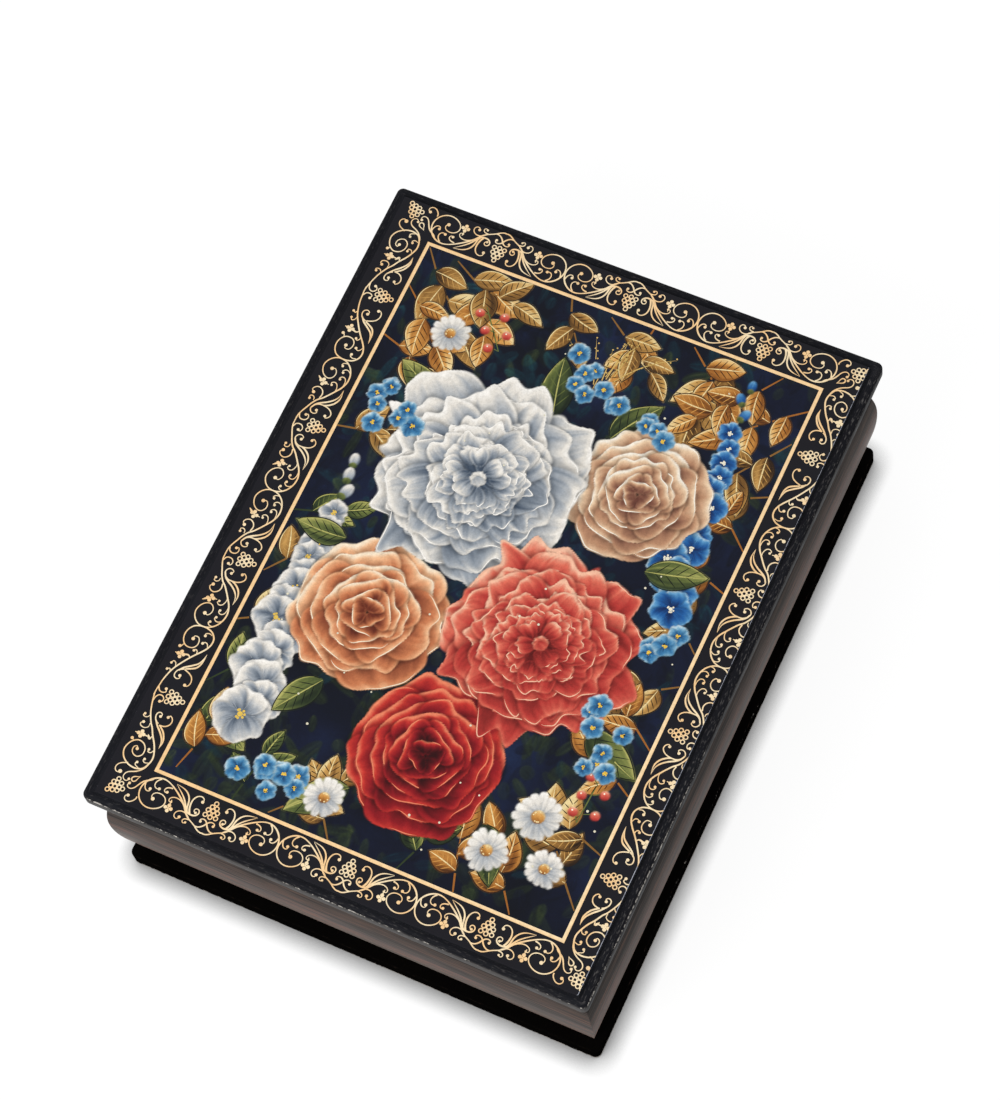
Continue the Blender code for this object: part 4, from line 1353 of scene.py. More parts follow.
class Canvas:
    """The picture's printed surface: a square grid of points with one colour each, and fine lines over it."""

    def __init__(self, half_x: float, half_y: float, pitch: float) -> None:
        """Stretches a night-blue ground over the picture's place.

        Args:
            half_x: Half the picture's width in millimetres.
            half_y: Half its height.
            pitch: The grid's spacing.
        """
        self.x = np.linspace(-half_x, half_x, round(2 * half_x / pitch) + 1)
        self.y = np.linspace(-half_y, half_y, round(2 * half_y / pitch) + 1)
        self.chance = np.random.default_rng(41)
        self.lattice = self.chance.random((256, 256))
        self.order = np.zeros((len(self.y), len(self.x)), int)
        self.marks = 0
        self.lines: list[tuple[np.ndarray, np.ndarray, str, int]] = []
        broad = self.noise(self.x[None] / 17, self.y[:, None] / 17)
        small = self.noise(self.x[None] / 6 + 40, self.y[:, None] / 6 + 40)
        self.colour = NIGHT.at((broad + 0.4 * small) * 0.62)

    def noise(self, first: np.ndarray, second: np.ndarray) -> np.ndarray:
        """Smooth noise from 0 to 1: chance numbers on a lattice, eased between neighbours."""
        low_1, low_2 = np.floor(first).astype(int), np.floor(second).astype(int)
        share_1, share_2 = first - low_1, second - low_2
        ease_1, ease_2 = share_1**2 * (3 - 2 * share_1), share_2**2 * (3 - 2 * share_2)
        size = len(self.lattice)
        i, j = low_1 % size, low_2 % size
        k, m = (i + 1) % size, (j + 1) % size
        near = self.lattice[i, j] * (1 - ease_1) + self.lattice[k, j] * ease_1
        far = self.lattice[i, m] * (1 - ease_1) + self.lattice[k, m] * ease_1
        return near * (1 - ease_2) + far * ease_2

    def mark(self, place: np.ndarray, angle: float, length: float, width: float, manner: Manner) -> None:
        """Paints one petal, leaf or brush mark.

        With u from 0 at the root to 1 at the tip and v from -1 to 1 across, the mark covers every point
        within its outline's width. The tone is root + (tip - root) * u to the lift + side * v, raised at the
        rim, plus bristle noise that runs along u.

        Args:
            place: Its root.
            angle: Its direction in radians.
            length: Its length.
            width: Its greatest width.
            manner: How it is painted.
        """
        reach = length + width / 2
        columns = slice(*np.searchsorted(self.x, (place[0] - reach, place[0] + reach)))
        rows = slice(*np.searchsorted(self.y, (place[1] - reach, place[1] + reach)))
        if columns.start == columns.stop or rows.start == rows.stop:
            return
        away_x, away_y = self.x[None, columns] - place[0], self.y[rows, None] - place[1]
        along = away_x * math.cos(angle) + away_y * math.sin(angle)
        across = away_y * math.cos(angle) - away_x * math.sin(angle) - manner.bend * along**2 / length
        seed_1, seed_2 = self.chance.random(2) * 200
        wave = 1 + manner.ruffle * (self.noise(across / width * 5 + seed_1, along * 0 + seed_2) - 0.5)
        u = np.clip(along / length * wave, 0, 1)
        half = manner.outline.width(u) * width / 2
        depth = np.minimum(half - np.abs(across), np.minimum(along, length / wave - along))
        v = np.clip(across / np.maximum(half, 0.05), -1, 1)
        bristle = self.noise(v * manner.bristles + seed_2, u * 1.6 + seed_1) - 0.5
        fibre = self.noise(v * manner.bristles * 3 + seed_1, u * 3 + seed_2) - 0.5
        tone = manner.root + (manner.tip - manner.root) * u**manner.lift + manner.side * v
        tone = tone + manner.rim * np.clip(1 - depth / (0.09 * width), 0, 1)
        tone = tone + manner.streak * (2 * bristle + fibre)
        shade = manner.shade * np.clip(0.5 + depth / (0.22 * width), 0, 1) ** 1.5
        cover = manner.cover * np.clip(depth / 0.45 + 0.5, 0, 1)
        patch = self.colour[rows, columns] * (1 - shade * (cover < 1))[..., None]
        paint = manner.pigment.at(tone) * cover[..., None]
        self.colour[rows, columns] = patch * (1 - cover[..., None]) + paint
        self.marks += 1
        if manner.cover > 0.6:
            owned = self.order[rows, columns]
            owned[cover > 0.5] = self.marks
        if manner.edge:
            self.tip_line(place, angle, length, width, manner, (seed_1, seed_2))

    def tip_line(
        self,
        place: np.ndarray,
        angle: float,
        length: float,
        width: float,
        manner: Manner,
        seeds: tuple[float, float],
    ) -> None:
        """Draws part of a mark's outline at its tip: for each place across, the outline's inverse gives u.

        Args:
            place: The mark's root.
            angle: Its direction in radians.
            length: Its length.
            width: Its greatest width.
            manner: How it is painted.
            seeds: Where in the noise its ruffle lies.
        """
        outer = np.linspace(0.68, 0.9995, 60)
        start, end = sorted(self.chance.uniform(-0.97, 0.97, 2))
        if end - start < 0.5:
            start, end = max(-0.97, start - 0.35), min(0.97, end + 0.35)
        share = np.sin(np.linspace(math.asin(start), math.asin(end), 18))
        widths = manner.outline.width(outer)
        u = np.interp(np.abs(share), widths[::-1] / widths[0], outer[::-1])
        across = share * width / 2 * 0.97
        wave = 1 + manner.ruffle * (self.noise(across / width * 5 + seeds[0], across * 0 + seeds[1]) - 0.5)
        along = u * length / wave * 0.985
        across = across + manner.bend * along**2 / length
        path = place + along[:, None] * toward(angle, 1) + across[:, None] * toward(angle + math.pi / 2, 1)
        self.line(path, 0.24, manner.edge, 0.1)

    def line(self, path: np.ndarray, width: float, colour: str, taper: float = 0.25) -> None:
        """Keeps a fine line for the crisp layer.

        Args:
            path: Its points.
            width: Its width in the middle.
            colour: Its colour.
            taper: The width's share at its two ends.
        """
        share = np.linspace(0, math.pi, len(path))
        self.lines.append((path, width * (taper + (1 - taper) * np.sin(share)), colour, self.marks))

    def shows(self, path: np.ndarray, mark: int) -> np.ndarray:
        """Tells at which points of a path nothing painted after that mark covers it."""
        pitch = self.x[1] - self.x[0]
        i = np.clip(np.rint((path[:, 1] - self.y[0]) / pitch).astype(int), 0, len(self.y) - 1)
        j = np.clip(np.rint((path[:, 0] - self.x[0]) / pitch).astype(int), 0, len(self.x) - 1)
        inside = (np.abs(path) < [self.x[-1] - 0.2, self.y[-1] - 0.2]).all(-1)
        return inside & (self.order[i, j] <= mark)

    def dots(self, places: np.ndarray, radius: float, colour: str) -> None:
        """Keeps round dots for the crisp layer, each a short line as long as it is wide."""
        reach = np.array([-1, -0.72, -0.3, 0.3, 0.72, 1])
        for place in places:
            path = place + np.stack([reach * radius, np.zeros(6)], -1)
            width = 2 * radius * np.sqrt(np.clip(1 - reach**2, 0.03, 1))
            self.lines.append((path, width, colour, self.marks))


def toward(angle: float, reach: float) -> np.ndarray:
    """The step of that length in that direction."""
    return np.array([math.cos(angle), math.sin(angle)]) * reach


@dataclass
class Bouquet:
    """The picture: a garden bouquet on a night-blue ground, in traditional lacquer colours."""

    canvas: Canvas
    light: float = math.radians(125)

    def lit(self, angle: float, strength: float = 0.12) -> float:
        """How much lighter a mark is that points in that direction."""
        return strength * math.cos(angle - self.light)

    def ground(self, count: int = 1500) -> None:
        """Brushes cloudy dabs: teal and blue at mid height, umber and olive towards the foot."""
        chance = self.canvas.chance
        half = np.array([self.canvas.x[-1], self.canvas.y[-1]])
        for _ in range(count):
            place = chance.uniform(-1.02, 1.02, 2)
            glow = math.exp(-((place[0] + 0.35) ** 2) * 3 - (place[1] - 0.15) ** 2 * 3)
            warm = chance.random() < 0.18 + 0.35 * (place[1] < -0.45)
            pigment = OLIVE if warm else (TEAL if chance.random() < 0.25 + 0.5 * glow else NIGHT)
            tip = 0.28 + 0.5 * chance.random() * (0.35 + glow)
            manner = Manner(
                pigment, Outline.ROUND, tip * 0.5, tip, 0, 0, 0.16, 3, 0, 0, 0, chance.uniform(0.25, 0.7)
            )
            angle = chance.normal(1.9, 0.7)
            self.canvas.mark(place * half, angle, chance.uniform(3, 8), chance.uniform(1.5, 3.2), manner)

    def leaf(
        self, place: np.ndarray, angle: float, length: float, pigment: Pigment, breadth: float = 0.58
    ) -> None:
        """Paints a leaf: two halves of unlike tone, a midrib, and side veins at 40 degrees to it.

        Args:
            place: Where its stalk joins.
            angle: Its direction in radians.
            length: Its length.
            pigment: Its paint.
            breadth: Its width as a share of its length.
        """
        chance = self.canvas.chance
        bend = chance.uniform(-0.2, 0.2)
        side = 0.2 * math.copysign(1, math.sin(angle - self.light))
        tip = chance.uniform(0.6, 0.95)
        manner = Manner(pigment, Outline.LEAF, tip - 0.42, tip, -side, 0.2, 0.2, 3.5, 0.05, bend, 0.7)
        self.canvas.mark(place, angle, length, length * breadth, manner)
        ahead, aside = toward(angle, 1), toward(angle + math.pi / 2, 1)

        def spot(along: np.ndarray, across: np.ndarray) -> np.ndarray:
            """Lays leaf coordinates on the picture, with the leaf's bend."""
            across = across + bend * along**2 / length
            return place + along[:, None] * ahead + across[:, None] * aside

        share = np.linspace(0.0, 0.94, 12)
        zero = np.zeros(12)
        self.canvas.line(spot(share * length, zero), 0.30, pigment.highlight)
        for along in (0.16, 0.32, 0.48, 0.64):
            for way in (-1, 1):
                out = Outline.LEAF.width(np.array([along + 0.12]))[0] * length * breadth * 0.40
                run = np.linspace(0, 1, 6)
                veins = spot((along + run * 0.2) * length, way * out * run)
                self.canvas.line(veins, 0.2, pigment.light if tip < 0.7 else pigment.shadow)
        turn = np.concatenate([np.linspace(0.02, 0.99, 14), np.linspace(0.99, 0.02, 14)[1:]])
        sign = np.concatenate([np.ones(14), -np.ones(13)])
        edge = Outline.LEAF.width(turn) * length * breadth / 2 * sign * 1.01
        self.canvas.line(spot(turn * length, edge), 0.22, pigment.shadow, 0.9)
        lit = slice(1, 13) if math.sin(self.light - angle) > 0 else slice(14, 26)
        self.canvas.line(spot(turn[lit] * length, edge[lit] * 0.9), 0.22, pigment.highlight, 0.2)

    def spray(
        self, start: tuple[float, float], angle: float, count: int, length: float, pigment: Pigment
    ) -> None:
        """Paints a twig with leaves on both sides in turn.

        Args:
            start: The twig's foot.
            angle: Its first direction in radians.
            count: How many leaves it has.
            length: Their length.
            pigment: Their paint.
        """
        chance = self.canvas.chance
        turn = chance.uniform(-0.06, 0.06)
        place = np.array(start, float)
        path = [place]
        beyond = place - toward(angle, 2.4)
        for i in range(count):
            place = place + toward(angle, length * 0.42)
            path.append(place)
            angle += turn + chance.normal(0, 0.08)
        stem = np.array([beyond, *path])
        places = np.linspace(0, count + 1, 6 * count + 7)
        fine = np.stack([np.interp(places, np.arange(count + 2), stem[:, i]) for i in range(2)], -1)
        self.canvas.line(fine, 0.45, pigment.body, 0.6)
        for i, foot in enumerate(path[1:]):
            way = (-1) ** i
            heading = math.atan2(*(path[min(i + 1, count)] - path[i])[::-1])
            tilt = way * chance.uniform(0.6, 1.1) if i < count - 1 else 0.0
            size, breadth = length * chance.uniform(0.8, 1.15), chance.uniform(0.5, 0.66)
            self.leaf(foot, heading + tilt, size, pigment, breadth)

    def rose(self, centre: tuple[float, float], radius: float, pigment: Pigment, turn: float = 0.0) -> None:
        """Paints a garden rose: rings of broad petals, each ring smaller than the last and turned further.

        Args:
            centre: Its middle.
            radius: Its outer radius.
            pigment: Its paint.
            turn: The first petal's direction.
        """
        chance = self.canvas.chance
        middle = np.array(centre, float)
        rings = ((6, 1.0), (6, 0.84), (5, 0.68), (5, 0.54), (4, 0.41), (3, 0.29), (3, 0.19))
        for ring, (count, share) in enumerate(rings):
            for k in range(count):
                angle = turn + ring * 0.9 + 2 * math.pi * k / count + chance.normal(0, 0.07)
                reach = radius * share * chance.uniform(0.94, 1.06)
                tip = 0.72 + self.lit(angle, 0.24) + chance.normal(0, 0.04)
                manner = Manner(
                    pigment, Outline.PETAL, 0.0, tip, chance.uniform(-0.1, 0.1), 0.2, 0.1, 4, 0.16, 0, 0.8,
                    lift=2.6, edge=pigment.highlight,
                )  # fmt: skip
                foot = middle + toward(angle, reach * 0.06)
                self.canvas.mark(foot, angle, reach, reach * 2.4 * math.sin(math.pi / count), manner)

    def peony(self, centre: tuple[float, float], radius: float, pigment: Pigment, turn: float = 0.0) -> None:
        """Paints a full peony: two rings of ruffled guard petals round a dome of many small ruffled ones.

        Args:
            centre: Its middle.
            radius: Its outer radius.
            pigment: Its paint.
            turn: The first petal's direction.
        """
        chance = self.canvas.chance
        middle = np.array(centre, float)
        rings = ((9, 1.0), (8, 0.86), (9, 0.72), (10, 0.62), (10, 0.52), (9, 0.42))
        for ring, (count, share) in enumerate(rings):
            for k in range(count):
                angle = turn + ring * 0.37 + 2 * math.pi * k / count + chance.normal(0, 0.1)
                reach = radius * share * chance.uniform(0.88, 1.08)
                tip = 0.76 + self.lit(angle, 0.24) + chance.normal(0, 0.07)
                manner = Manner(
                    pigment, Outline.PETAL, 0.0, tip, 0, 0.18, 0.14, 5, 0.3, 0, 0.75,
                    lift=2.4, edge=pigment.highlight,
                )  # fmt: skip
                foot = middle + toward(angle, reach * 0.1)
                width = reach * 2.3 * math.sin(math.pi / count) * (1.15 if ring else 1.05)
                self.canvas.mark(foot, angle, reach, width, manner)
        for k in range(26):
            away = radius * 0.30 * math.sqrt(1 - k / 26)
            place_angle = k * 2.4 + turn
            foot = middle + toward(place_angle, away * 0.8)
            angle = place_angle + chance.normal(0, 0.5)
            tip = 0.8 + self.lit(place_angle, 0.22) + chance.normal(0, 0.07)
            manner = Manner(
                pigment, Outline.PETAL, 0.1, tip, 0, 0.16, 0.14, 4, 0.35, 0, 0.7,
                lift=1.8, edge=pigment.highlight,
            )  # fmt: skip
            self.canvas.mark(foot, angle, radius * 0.2, radius * 0.2, manner)
        for k in range(7):
            angle = turn + k * 0.9
            tip = 0.8 + self.lit(angle, 0.2)
            heart = Manner(pigment, Outline.PETAL, 0.35, tip, 0, 0.1, 0.1, 3, 0.2, 0, 0.6)
            self.canvas.mark(middle - toward(angle, radius * 0.03), angle, radius * 0.11, radius * 0.1, heart)

    def blossom(
        self, centre: np.ndarray, radius: float, pigment: Pigment, heart: str, turn: float, petals: int = 5
    ) -> None:
        """Paints a flat open flower with veined petals, a dark throat and a tuft of stamens.

        Args:
            centre: Its middle.
            radius: Its radius.
            pigment: Its paint.
            heart: The stamens' colour.
            turn: The first petal's direction.
            petals: How many petals it has.
        """
        chance = self.canvas.chance
        for k in range(petals):
            angle = turn + 2 * math.pi * k / petals + chance.normal(0, 0.06)
            tip = 0.8 + self.lit(angle, 0.18)
            manner = Manner(pigment, Outline.PETAL, 0.1, tip, 0.05, 0.16, 0.13, 4, 0.2, 0, 0.7, lift=1.3)
            width = radius * 2.4 * math.sin(math.pi / petals)
            self.canvas.mark(centre, angle, radius * chance.uniform(0.92, 1.05), width, manner)
            for away in (-0.35, 0.0, 0.35):
                run = np.linspace(0.22, 0.62, 5)[:, None]
                vein = centre + run * toward(angle + away * 0.5, radius)
                self.canvas.line(vein, 0.16, pigment.body, 0.2)
        places = centre + np.stack([toward(chance.uniform(0, 6.3), radius * 0.16) for _ in range(7)])
        self.canvas.dots(places, max(0.2, radius * 0.05), heart)
        self.canvas.dots(centre[None], radius * 0.1, heart)

    def daisy(self, centre: tuple[float, float], radius: float) -> None:
        """Paints a daisy: fourteen narrow white rays round a raised yellow disc."""
        chance = self.canvas.chance
        middle = np.array(centre, float)
        turn = chance.uniform(0, 1)
        for k in range(14):
            angle = turn + 2 * math.pi * k / 14 + chance.normal(0, 0.05)
            manner = Manner(WHITE, Outline.PETAL, 0.3, 0.85 + self.lit(angle, 0.2), 0, 0, 0.1, 3, 0, 0, 0.4)
            self.canvas.mark(middle, angle, radius * chance.uniform(0.9, 1.05), radius * 0.4, manner)
        disc = Manner(OCHRE, Outline.ROUND, 0.9, 0.4, 0.2, 0, 0.1, 3, 0, 0, 0.5)
        self.canvas.mark(middle - toward(-0.9, radius * 0.27), -0.9, radius * 0.54, radius * 0.54, disc)
        places = middle + np.stack([toward(chance.uniform(0, 6.3), radius * 0.2) for _ in range(8)])
        self.canvas.dots(places, 0.17, OCHRE.highlight)

    def spike(
        self, foot: tuple[float, float], top: tuple[float, float], count: int, sizes: tuple[float, float],
        pigment: Pigment, heart: str, spread: float,
    ) -> None:  # fmt: skip
        """Paints a flower spike from its top down: buds, then open flowers that grow towards the foot.

        Args:
            foot: The lowest flower's place.
            top: The stalk's tip.
            count: How many flowers it has.
            sizes: The radius at the foot and at the top.
            pigment: Its paint.
            heart: The stamens' colour.
            spread: How far the flowers stand from the stalk at the foot.
        """
        chance = self.canvas.chance
        low, high = np.array(foot, float), np.array(top, float)
        rise = math.atan2(*(high - low)[::-1])
        self.canvas.line(low + (high - low) * np.linspace(0, 1, 10)[:, None], 0.7, OLIVE.light, 0.5)
        for share in np.linspace(1, 0, count):
            size = sizes[0] + (sizes[1] - sizes[0]) * share
            away = chance.uniform(-1, 1) * spread * (1.05 - share)
            place = low + (high - low) * share + toward(rise + math.pi / 2, away)
            if share > 0.82:
                angle = rise + chance.uniform(-0.7, 0.7)
                bud = Manner(pigment, Outline.ROUND, 0.15, 0.8, 0.1, 0, 0.1, 3, 0, 0, 0.4)
                self.canvas.mark(place, angle, size * 1.3, size * 0.9, bud)
                cup = Manner(OLIVE, Outline.ROUND, 0.4, 0.8, 0, 0, 0.1, 3, 0, 0, 0.0)
                self.canvas.mark(place - toward(angle, size * 0.2), angle, size * 0.6, size * 0.7, cup)
                continue
            self.blossom(place, size * chance.uniform(0.85, 1.12), pigment, heart, chance.uniform(0, 1.2))

    def berries(self, start: tuple[float, float], angle: float, count: int, pigment: Pigment) -> None:
        """Paints a twig of round berries with a light spot on each."""
        chance = self.canvas.chance
        foot = np.array(start, float)
        for k in range(count):
            along = foot + toward(angle, 2.3 * k)
            place = along + toward(angle + (-1) ** k * 1.1, 2.6)
            middle = (along + place) / 2 + toward(angle, 0.3)
            self.canvas.line(np.array([along, middle, place]), 0.25, OLIVE.light, 0.6)
            berry = Manner(pigment, Outline.ROUND, 0.95, 0.25, 0.15, 0, 0.05, 2, 0, 0, 0.5)
            self.canvas.mark(place - toward(-0.9, 1.1), -0.9, 2.2, 2.2, berry)
            self.canvas.dots(place[None] + toward(2.2, 0.45), 0.2, "#FFF2DC")
            angle += chance.normal(0.05, 0.05)
        path = foot + np.linspace(0, 1, 8)[:, None] * toward(angle, 2.3 * count)
        self.canvas.line(path, 0.3, OLIVE.light, 0.6)

    def grasses(
        self, start: tuple[float, float], angle: float, count: int, length: float, colour: str
    ) -> None:
        """Draws a tuft of fine bent grass blades with seeds."""
        chance = self.canvas.chance
        foot = np.array(start, float)
        for _ in range(count):
            heading = angle + chance.normal(0, 0.28)
            curl = chance.normal(0, 0.5)
            bent = heading + curl * np.linspace(0, 1, 14)
            reach = length * chance.uniform(0.6, 1.1)
            steps = np.stack([np.cos(bent), np.sin(bent)], -1) * reach / 14
            path = foot + chance.normal(0, 0.8, 2) + np.cumsum(steps, 0)
            self.canvas.line(path, 0.26, colour, 0.1)
            self.canvas.dots(path[8:] + chance.normal(0, 0.35, (6, 2)), 0.2, colour)

    def paint(self) -> None:
        """Paints the bouquet from the back forward."""
        self.ground()
        twigs = (
            ((-46, 66), -0.9, 5, 9.5, GOLD), ((-30, 67), -1.4, 4, 9.0, OCHRE),
            ((-47, 44), -0.3, 3, 9.0, OCHRE), ((-12, 68), -1.2, 3, 8.5, GOLD), ((8, 68), -1.7, 3, 8.5, OCHRE),
            ((28, 68), -1.9, 4, 9.5, GOLD), ((47, 62), -2.5, 4, 9.5, OCHRE), ((47, 40), -2.7, 3, 9.0, GOLD),
            ((47, 16), 2.8, 3, 9.0, OCHRE), ((47, -8), -2.6, 4, 9.0, GOLD), ((47, -34), 2.6, 3, 8.5, OCHRE),
            ((46, -60), 2.3, 4, 9.5, GOLD), ((22, -67), 1.9, 3, 8.5, OCHRE), ((-8, -67), 2.2, 3, 8.0, GOLD),
            ((-30, -67), 1.4, 3, 8.5, OLIVE), ((-47, -58), 0.6, 3, 9.0, OLIVE),
            ((-47, -30), 0.5, 3, 8.5, GOLD), ((-47, -2), 0.3, 3, 8.5, OLIVE), ((-47, 20), 0.2, 3, 8.5, GOLD),
            ((-38, 66), -0.5, 4, 9.0, GOLD), ((-46, 56), -0.7, 4, 8.5, OCHRE), ((0, 66), -0.6, 4, 8.5, GOLD),
            ((20, 66), -0.7, 3, 8.5, OCHRE), ((38, 66), -2.2, 5, 9.0, OCHRE), ((46, 52), -2.2, 4, 9.0, GOLD),
            ((46, 28), 2.4, 3, 8.5, OCHRE), ((46, 2), 2.4, 3, 8.5, GOLD), ((46, -22), 2.5, 3, 8.5, OCHRE),
            ((46, -48), 2.8, 3, 8.5, GOLD), ((34, -66), 2.2, 4, 8.5, OCHRE), ((10, -66), 1.2, 3, 8.0, OLIVE),
            ((-20, -66), 0.8, 4, 8.5, GOLD), ((-44, -64), 1.3, 4, 8.5, OCHRE),
            ((-46, -44), 0.9, 3, 8.5, OLIVE), ((-46, -16), 0.9, 3, 8.0, GOLD),
        )  # fmt: skip
        for start, angle, count, length, pigment in twigs:
            self.spray(start, angle, count, length, pigment)
        self.spike((36, 8), (34, 62), 16, (4.6, 2.2), BLUE, "#F6EFD8", 4.5)
        self.spike((-37, -50), (-40, 12), 17, (6.2, 2.6), WHITE, "#E9C45A", 3.0)
        for start, angle, length, pigment in (
            ((-4, 40), 1.9, 15, OLIVE), ((10, 40), 1.1, 14, OLIVE), ((30, 14), 0.2, 14, OLIVE),
            ((34, -24), -0.6, 15, OLIVE), ((-30, 34), 2.6, 13, OLIVE), ((-8, -56), -2.5, 15, OLIVE),
            ((22, -52), -0.9, 14, OLIVE), ((-24, -36), -2.2, 13, OLIVE), ((-34, -4), 3.3, 12, OLIVE),
        ):  # fmt: skip
            self.leaf(np.array(start, float), angle, length, pigment, 0.5)
        self.berries((-22, 50), 2.1, 5, CORAL)
        self.berries((40, -44), 1.2, 5, CORAL)
        self.grasses((2, 46), 1.6, 9, 20, "#D9B66A")
        self.rose((21, 30), 14.5, CREAM, 0.4)
        self.rose((-22, -18), 16.0, PEACH, 0.1)
        self.peony((-13, 20), 22.5, WHITE, 0.2)
        self.rose((4, -43), 16.5, RED, 0.7)
        self.peony((16, -10), 20.5, CORAL, 0.5)
        daisies = (((32, -46), 5.6), ((25, -57), 5.0), ((38, -56), 4.4), ((-34, 50), 4.6), ((-12, -60), 4.6))
        for centre, radius in daisies:
            self.daisy(centre, radius)
        chance = self.canvas.chance
        for centre in (
            (-20, -58), (-28, -61), (-3, 54), (6, 50), (40, -30), (35, -22), (-41, 32), (-36, 27), (16, 46),
            (41, 0),
        ):
            for _ in range(4):
                place = np.array(centre, float) + chance.normal(0, 2.2, 2)
                self.blossom(place, chance.uniform(1.9, 2.7), SKY, "#F3C94E", chance.uniform(0, 1))
        for _ in range(36):
            place = chance.uniform(-1, 1, 2) * [46, 66]
            self.canvas.dots(place[None], chance.uniform(0.16, 0.3), "#E9E2C8")


@dataclass
class Picture:
    """The flower picture: two halves of a finely painted grid, and the finest brushwork as flat ribbons."""

    border: Border
    pitch: float = 0.264
    lift: float = 0.006
    brush_lift: float = 0.008
    layers: int = 4
    layer_step: float = 0.006

    def build(self, paper: float) -> None:
        """Paints the bouquet and makes its meshes.

        Args:
            paper: The paper's height.
        """
        level = paper + self.lift
        half_x = self.border.frame_half_x - self.border.line_width / 2
        half_y = self.border.frame_half_y - self.border.line_width / 2
        canvas = Canvas(half_x, half_y, self.pitch)
        Bouquet(canvas).paint()
        print_finish = VarnishedPrint("varnished_flower_print").build()
        middle = len(canvas.y) // 2
        for name, rows in (("near", slice(0, middle + 1)), ("far", slice(middle, len(canvas.y)))):
            x, y = np.meshgrid(canvas.x + self.border.shift_x, canvas.y[rows] + self.border.shift_y)
            points = np.stack([x, y, np.full(x.shape, level)], -1)
            paint = canvas.colour[rows].reshape(-1, 3) ** 2
            faces = grid_faces(1, *x.shape)
            half = make_object(f"flower_picture_{name}_half", points, [faces], print_finish, paint=paint)
            seat(half, "lid")
        self.build_fine_brushwork(canvas, level + self.brush_lift, print_finish)

    def build_fine_brushwork(self, canvas: Canvas, level: float, material: bpy.types.Material) -> None:
        """Makes each kept line a ribbon: its path plus and minus half its width along the path's normal."""
        points, faces, paint, total = [], [], [], 0
        for number, (path, width, colour, mark) in enumerate(canvas.lines):
            tangent = np.gradient(path, axis=0)
            tangent /= np.linalg.norm(tangent, axis=-1, keepdims=True) + 1e-9
            offset = np.stack([-tangent[:, 1], tangent[:, 0]], -1) * width[:, None] / 2
            flat = np.stack([path - offset, path + offset], 1).reshape(-1, 2)
            height = np.full((len(flat), 1), level + self.layer_step * (number % self.layers))
            seen = canvas.shows(path, mark)
            quads = grid_faces(1, len(path), 2)[seen[1:] & seen[:-1]]
            points.append(np.concatenate([flat, height], -1))
            faces.append(quads + total)
            paint.append(np.repeat([linear(colour)[:3]], len(flat), 0))
            total += len(flat)
        solid = np.concatenate(points) + [self.border.shift_x, self.border.shift_y, 0]
        quads = facing_up(solid[:, :2], np.concatenate(faces))
        piece = make_object("fine_brushwork", solid, [quads], material, paint=np.concatenate(paint))
        seat(piece, "lid")


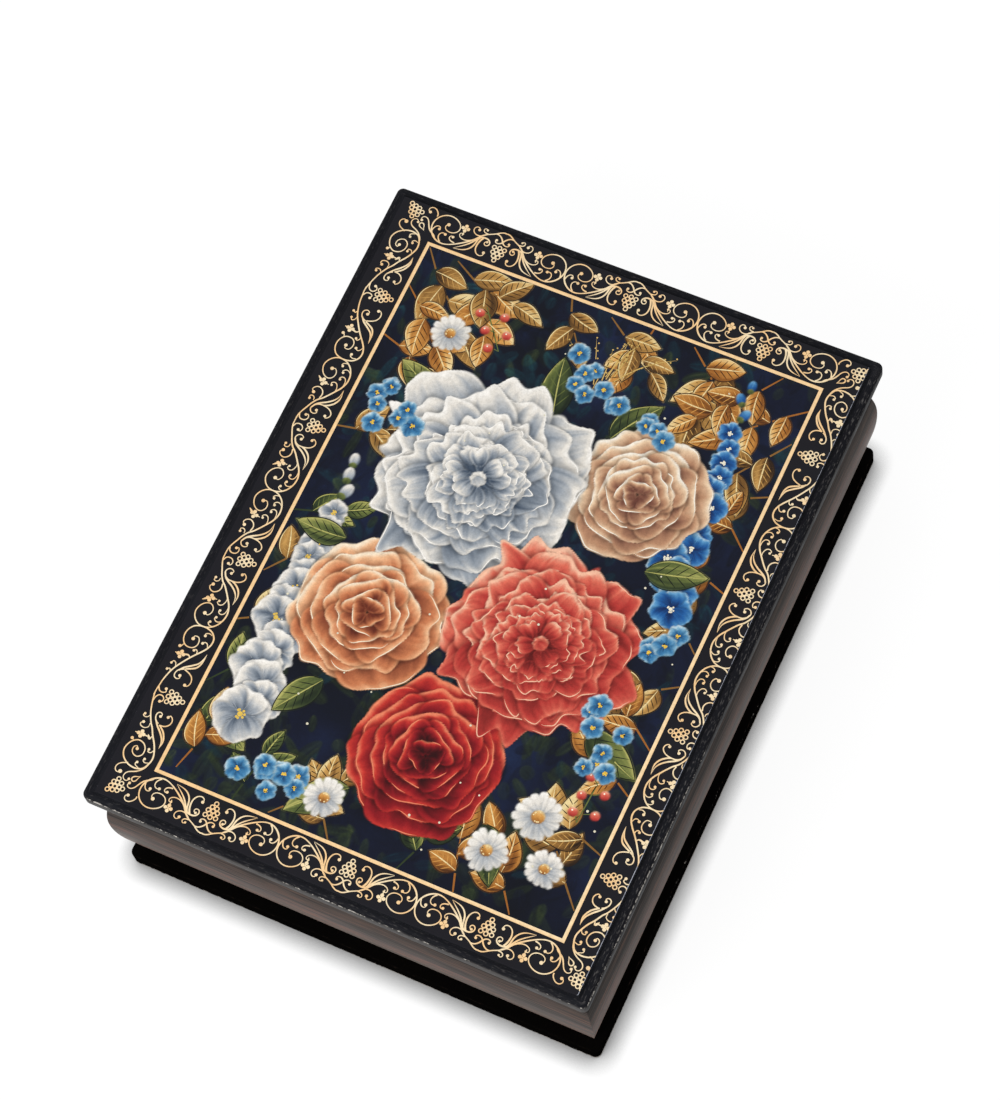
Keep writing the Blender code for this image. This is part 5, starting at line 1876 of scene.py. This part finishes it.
@dataclass
class Studio:
    """The white table, the soft light and the camera."""

    aim: tuple[float, float, float] = (0.18, 6.29, 50.0)
    distance: float = 785.6
    azimuth: float = 37.95
    elevation: float = 66.42
    roll: float = -14.13
    focal_pixels: float = 3600.0
    image_height: float = 1100.0
    table_half: float = 3000.0
    room: float = 0.68

    def build(self) -> None:
        """Makes the floor, the world, the lamps and the camera."""
        scene = bpy.context.scene
        scene.view_settings.view_transform = "Standard"
        self.build_floor()
        self.build_world(scene)
        self.build_lamp("softbox_near", (-0.25, -0.8, 0.7), 0.5, 5.0)
        self.build_camera(scene)

    def build_floor(self) -> None:
        """Lays the table just under the box."""
        corners = np.array([(-1, -1), (1, -1), (1, 1), (-1, 1)]) * self.table_half
        points = np.concatenate([corners, np.full((4, 1), -0.02)], -1)
        make_object("table", points, [np.array([[0, 1, 2, 3]])], WhiteTable().build())

    def build_world(self, scene: bpy.types.Scene) -> None:
        """White to the camera, and a soft even room otherwise."""
        world = bpy.data.worlds.new("studio")
        scene.world = world
        world.use_nodes = True
        world.node_tree.nodes.clear()
        add = partial(add_node, world.node_tree)
        room, white = (add("Background", {"Color": WHITE_LIGHT, "Strength": s}) for s in (self.room, 1.0))
        mixed = add("MixShader", {0: seen_straight(add), 1: room, 2: white})
        add("OutputWorld", {"Surface": mixed})

    def build_lamp(self, name: str, place: tuple[float, float, float], size: float, power: float) -> None:
        """Adds a square lamp that faces the box.

        Args:
            name: Its name.
            place: Where it is, in metres.
            size: Its side, in metres.
            power: Its power in watts.
        """
        lamp = bpy.data.lights.new(name, "AREA")
        lamp.size = size
        lamp.energy = power
        obj = bpy.data.objects.new(name, lamp)
        obj.location = place
        obj.rotation_euler = (-Vector(place)).to_track_quat("-Z", "Y").to_euler()
        bpy.context.scene.collection.objects.link(obj)

    def build_camera(self, scene: bpy.types.Scene) -> None:
        """Stands the camera at its distance from the aim, turned by azimuth and elevation, then rolled."""
        azimuth, elevation = math.radians(self.azimuth), math.radians(self.elevation)
        ahead = (-math.sin(azimuth) * math.cos(elevation), math.cos(azimuth) * math.cos(elevation))
        forward = Vector((*ahead, -math.sin(elevation)))
        level = Vector((math.cos(azimuth), math.sin(azimuth), 0.0))
        right = Matrix.Rotation(math.radians(-self.roll), 3, forward) @ level
        up = right.cross(forward)
        lens = bpy.data.cameras.new("photo_view")
        lens.sensor_fit = "VERTICAL"
        lens.sensor_height = 36.0
        lens.lens = self.focal_pixels / self.image_height * lens.sensor_height
        lens.clip_start = 0.01
        lens.clip_end = 20.0
        camera = bpy.data.objects.new("photo_view", lens)
        turn = Matrix((right, up, -forward)).transposed().to_4x4()
        place = Vector(self.aim) * MM - forward * self.distance * MM
        camera.matrix_world = Matrix.Translation(place) @ turn
        scene.collection.objects.link(camera)
        scene.camera = camera


def main() -> None:
    """Builds the studio and the box, piece by piece."""
    logging.basicConfig(level=logging.INFO, format="%(message)s")
    Studio().build()
    Case().build()
    Lid().build()
    Hinges().build()
    dress(Flock(), ("lining_",))
    border = Border()
    paper = PrintedSheet().build()
    Picture(border).build(paper)
    border.build(paper)


if __name__ == "__main__":
    main()
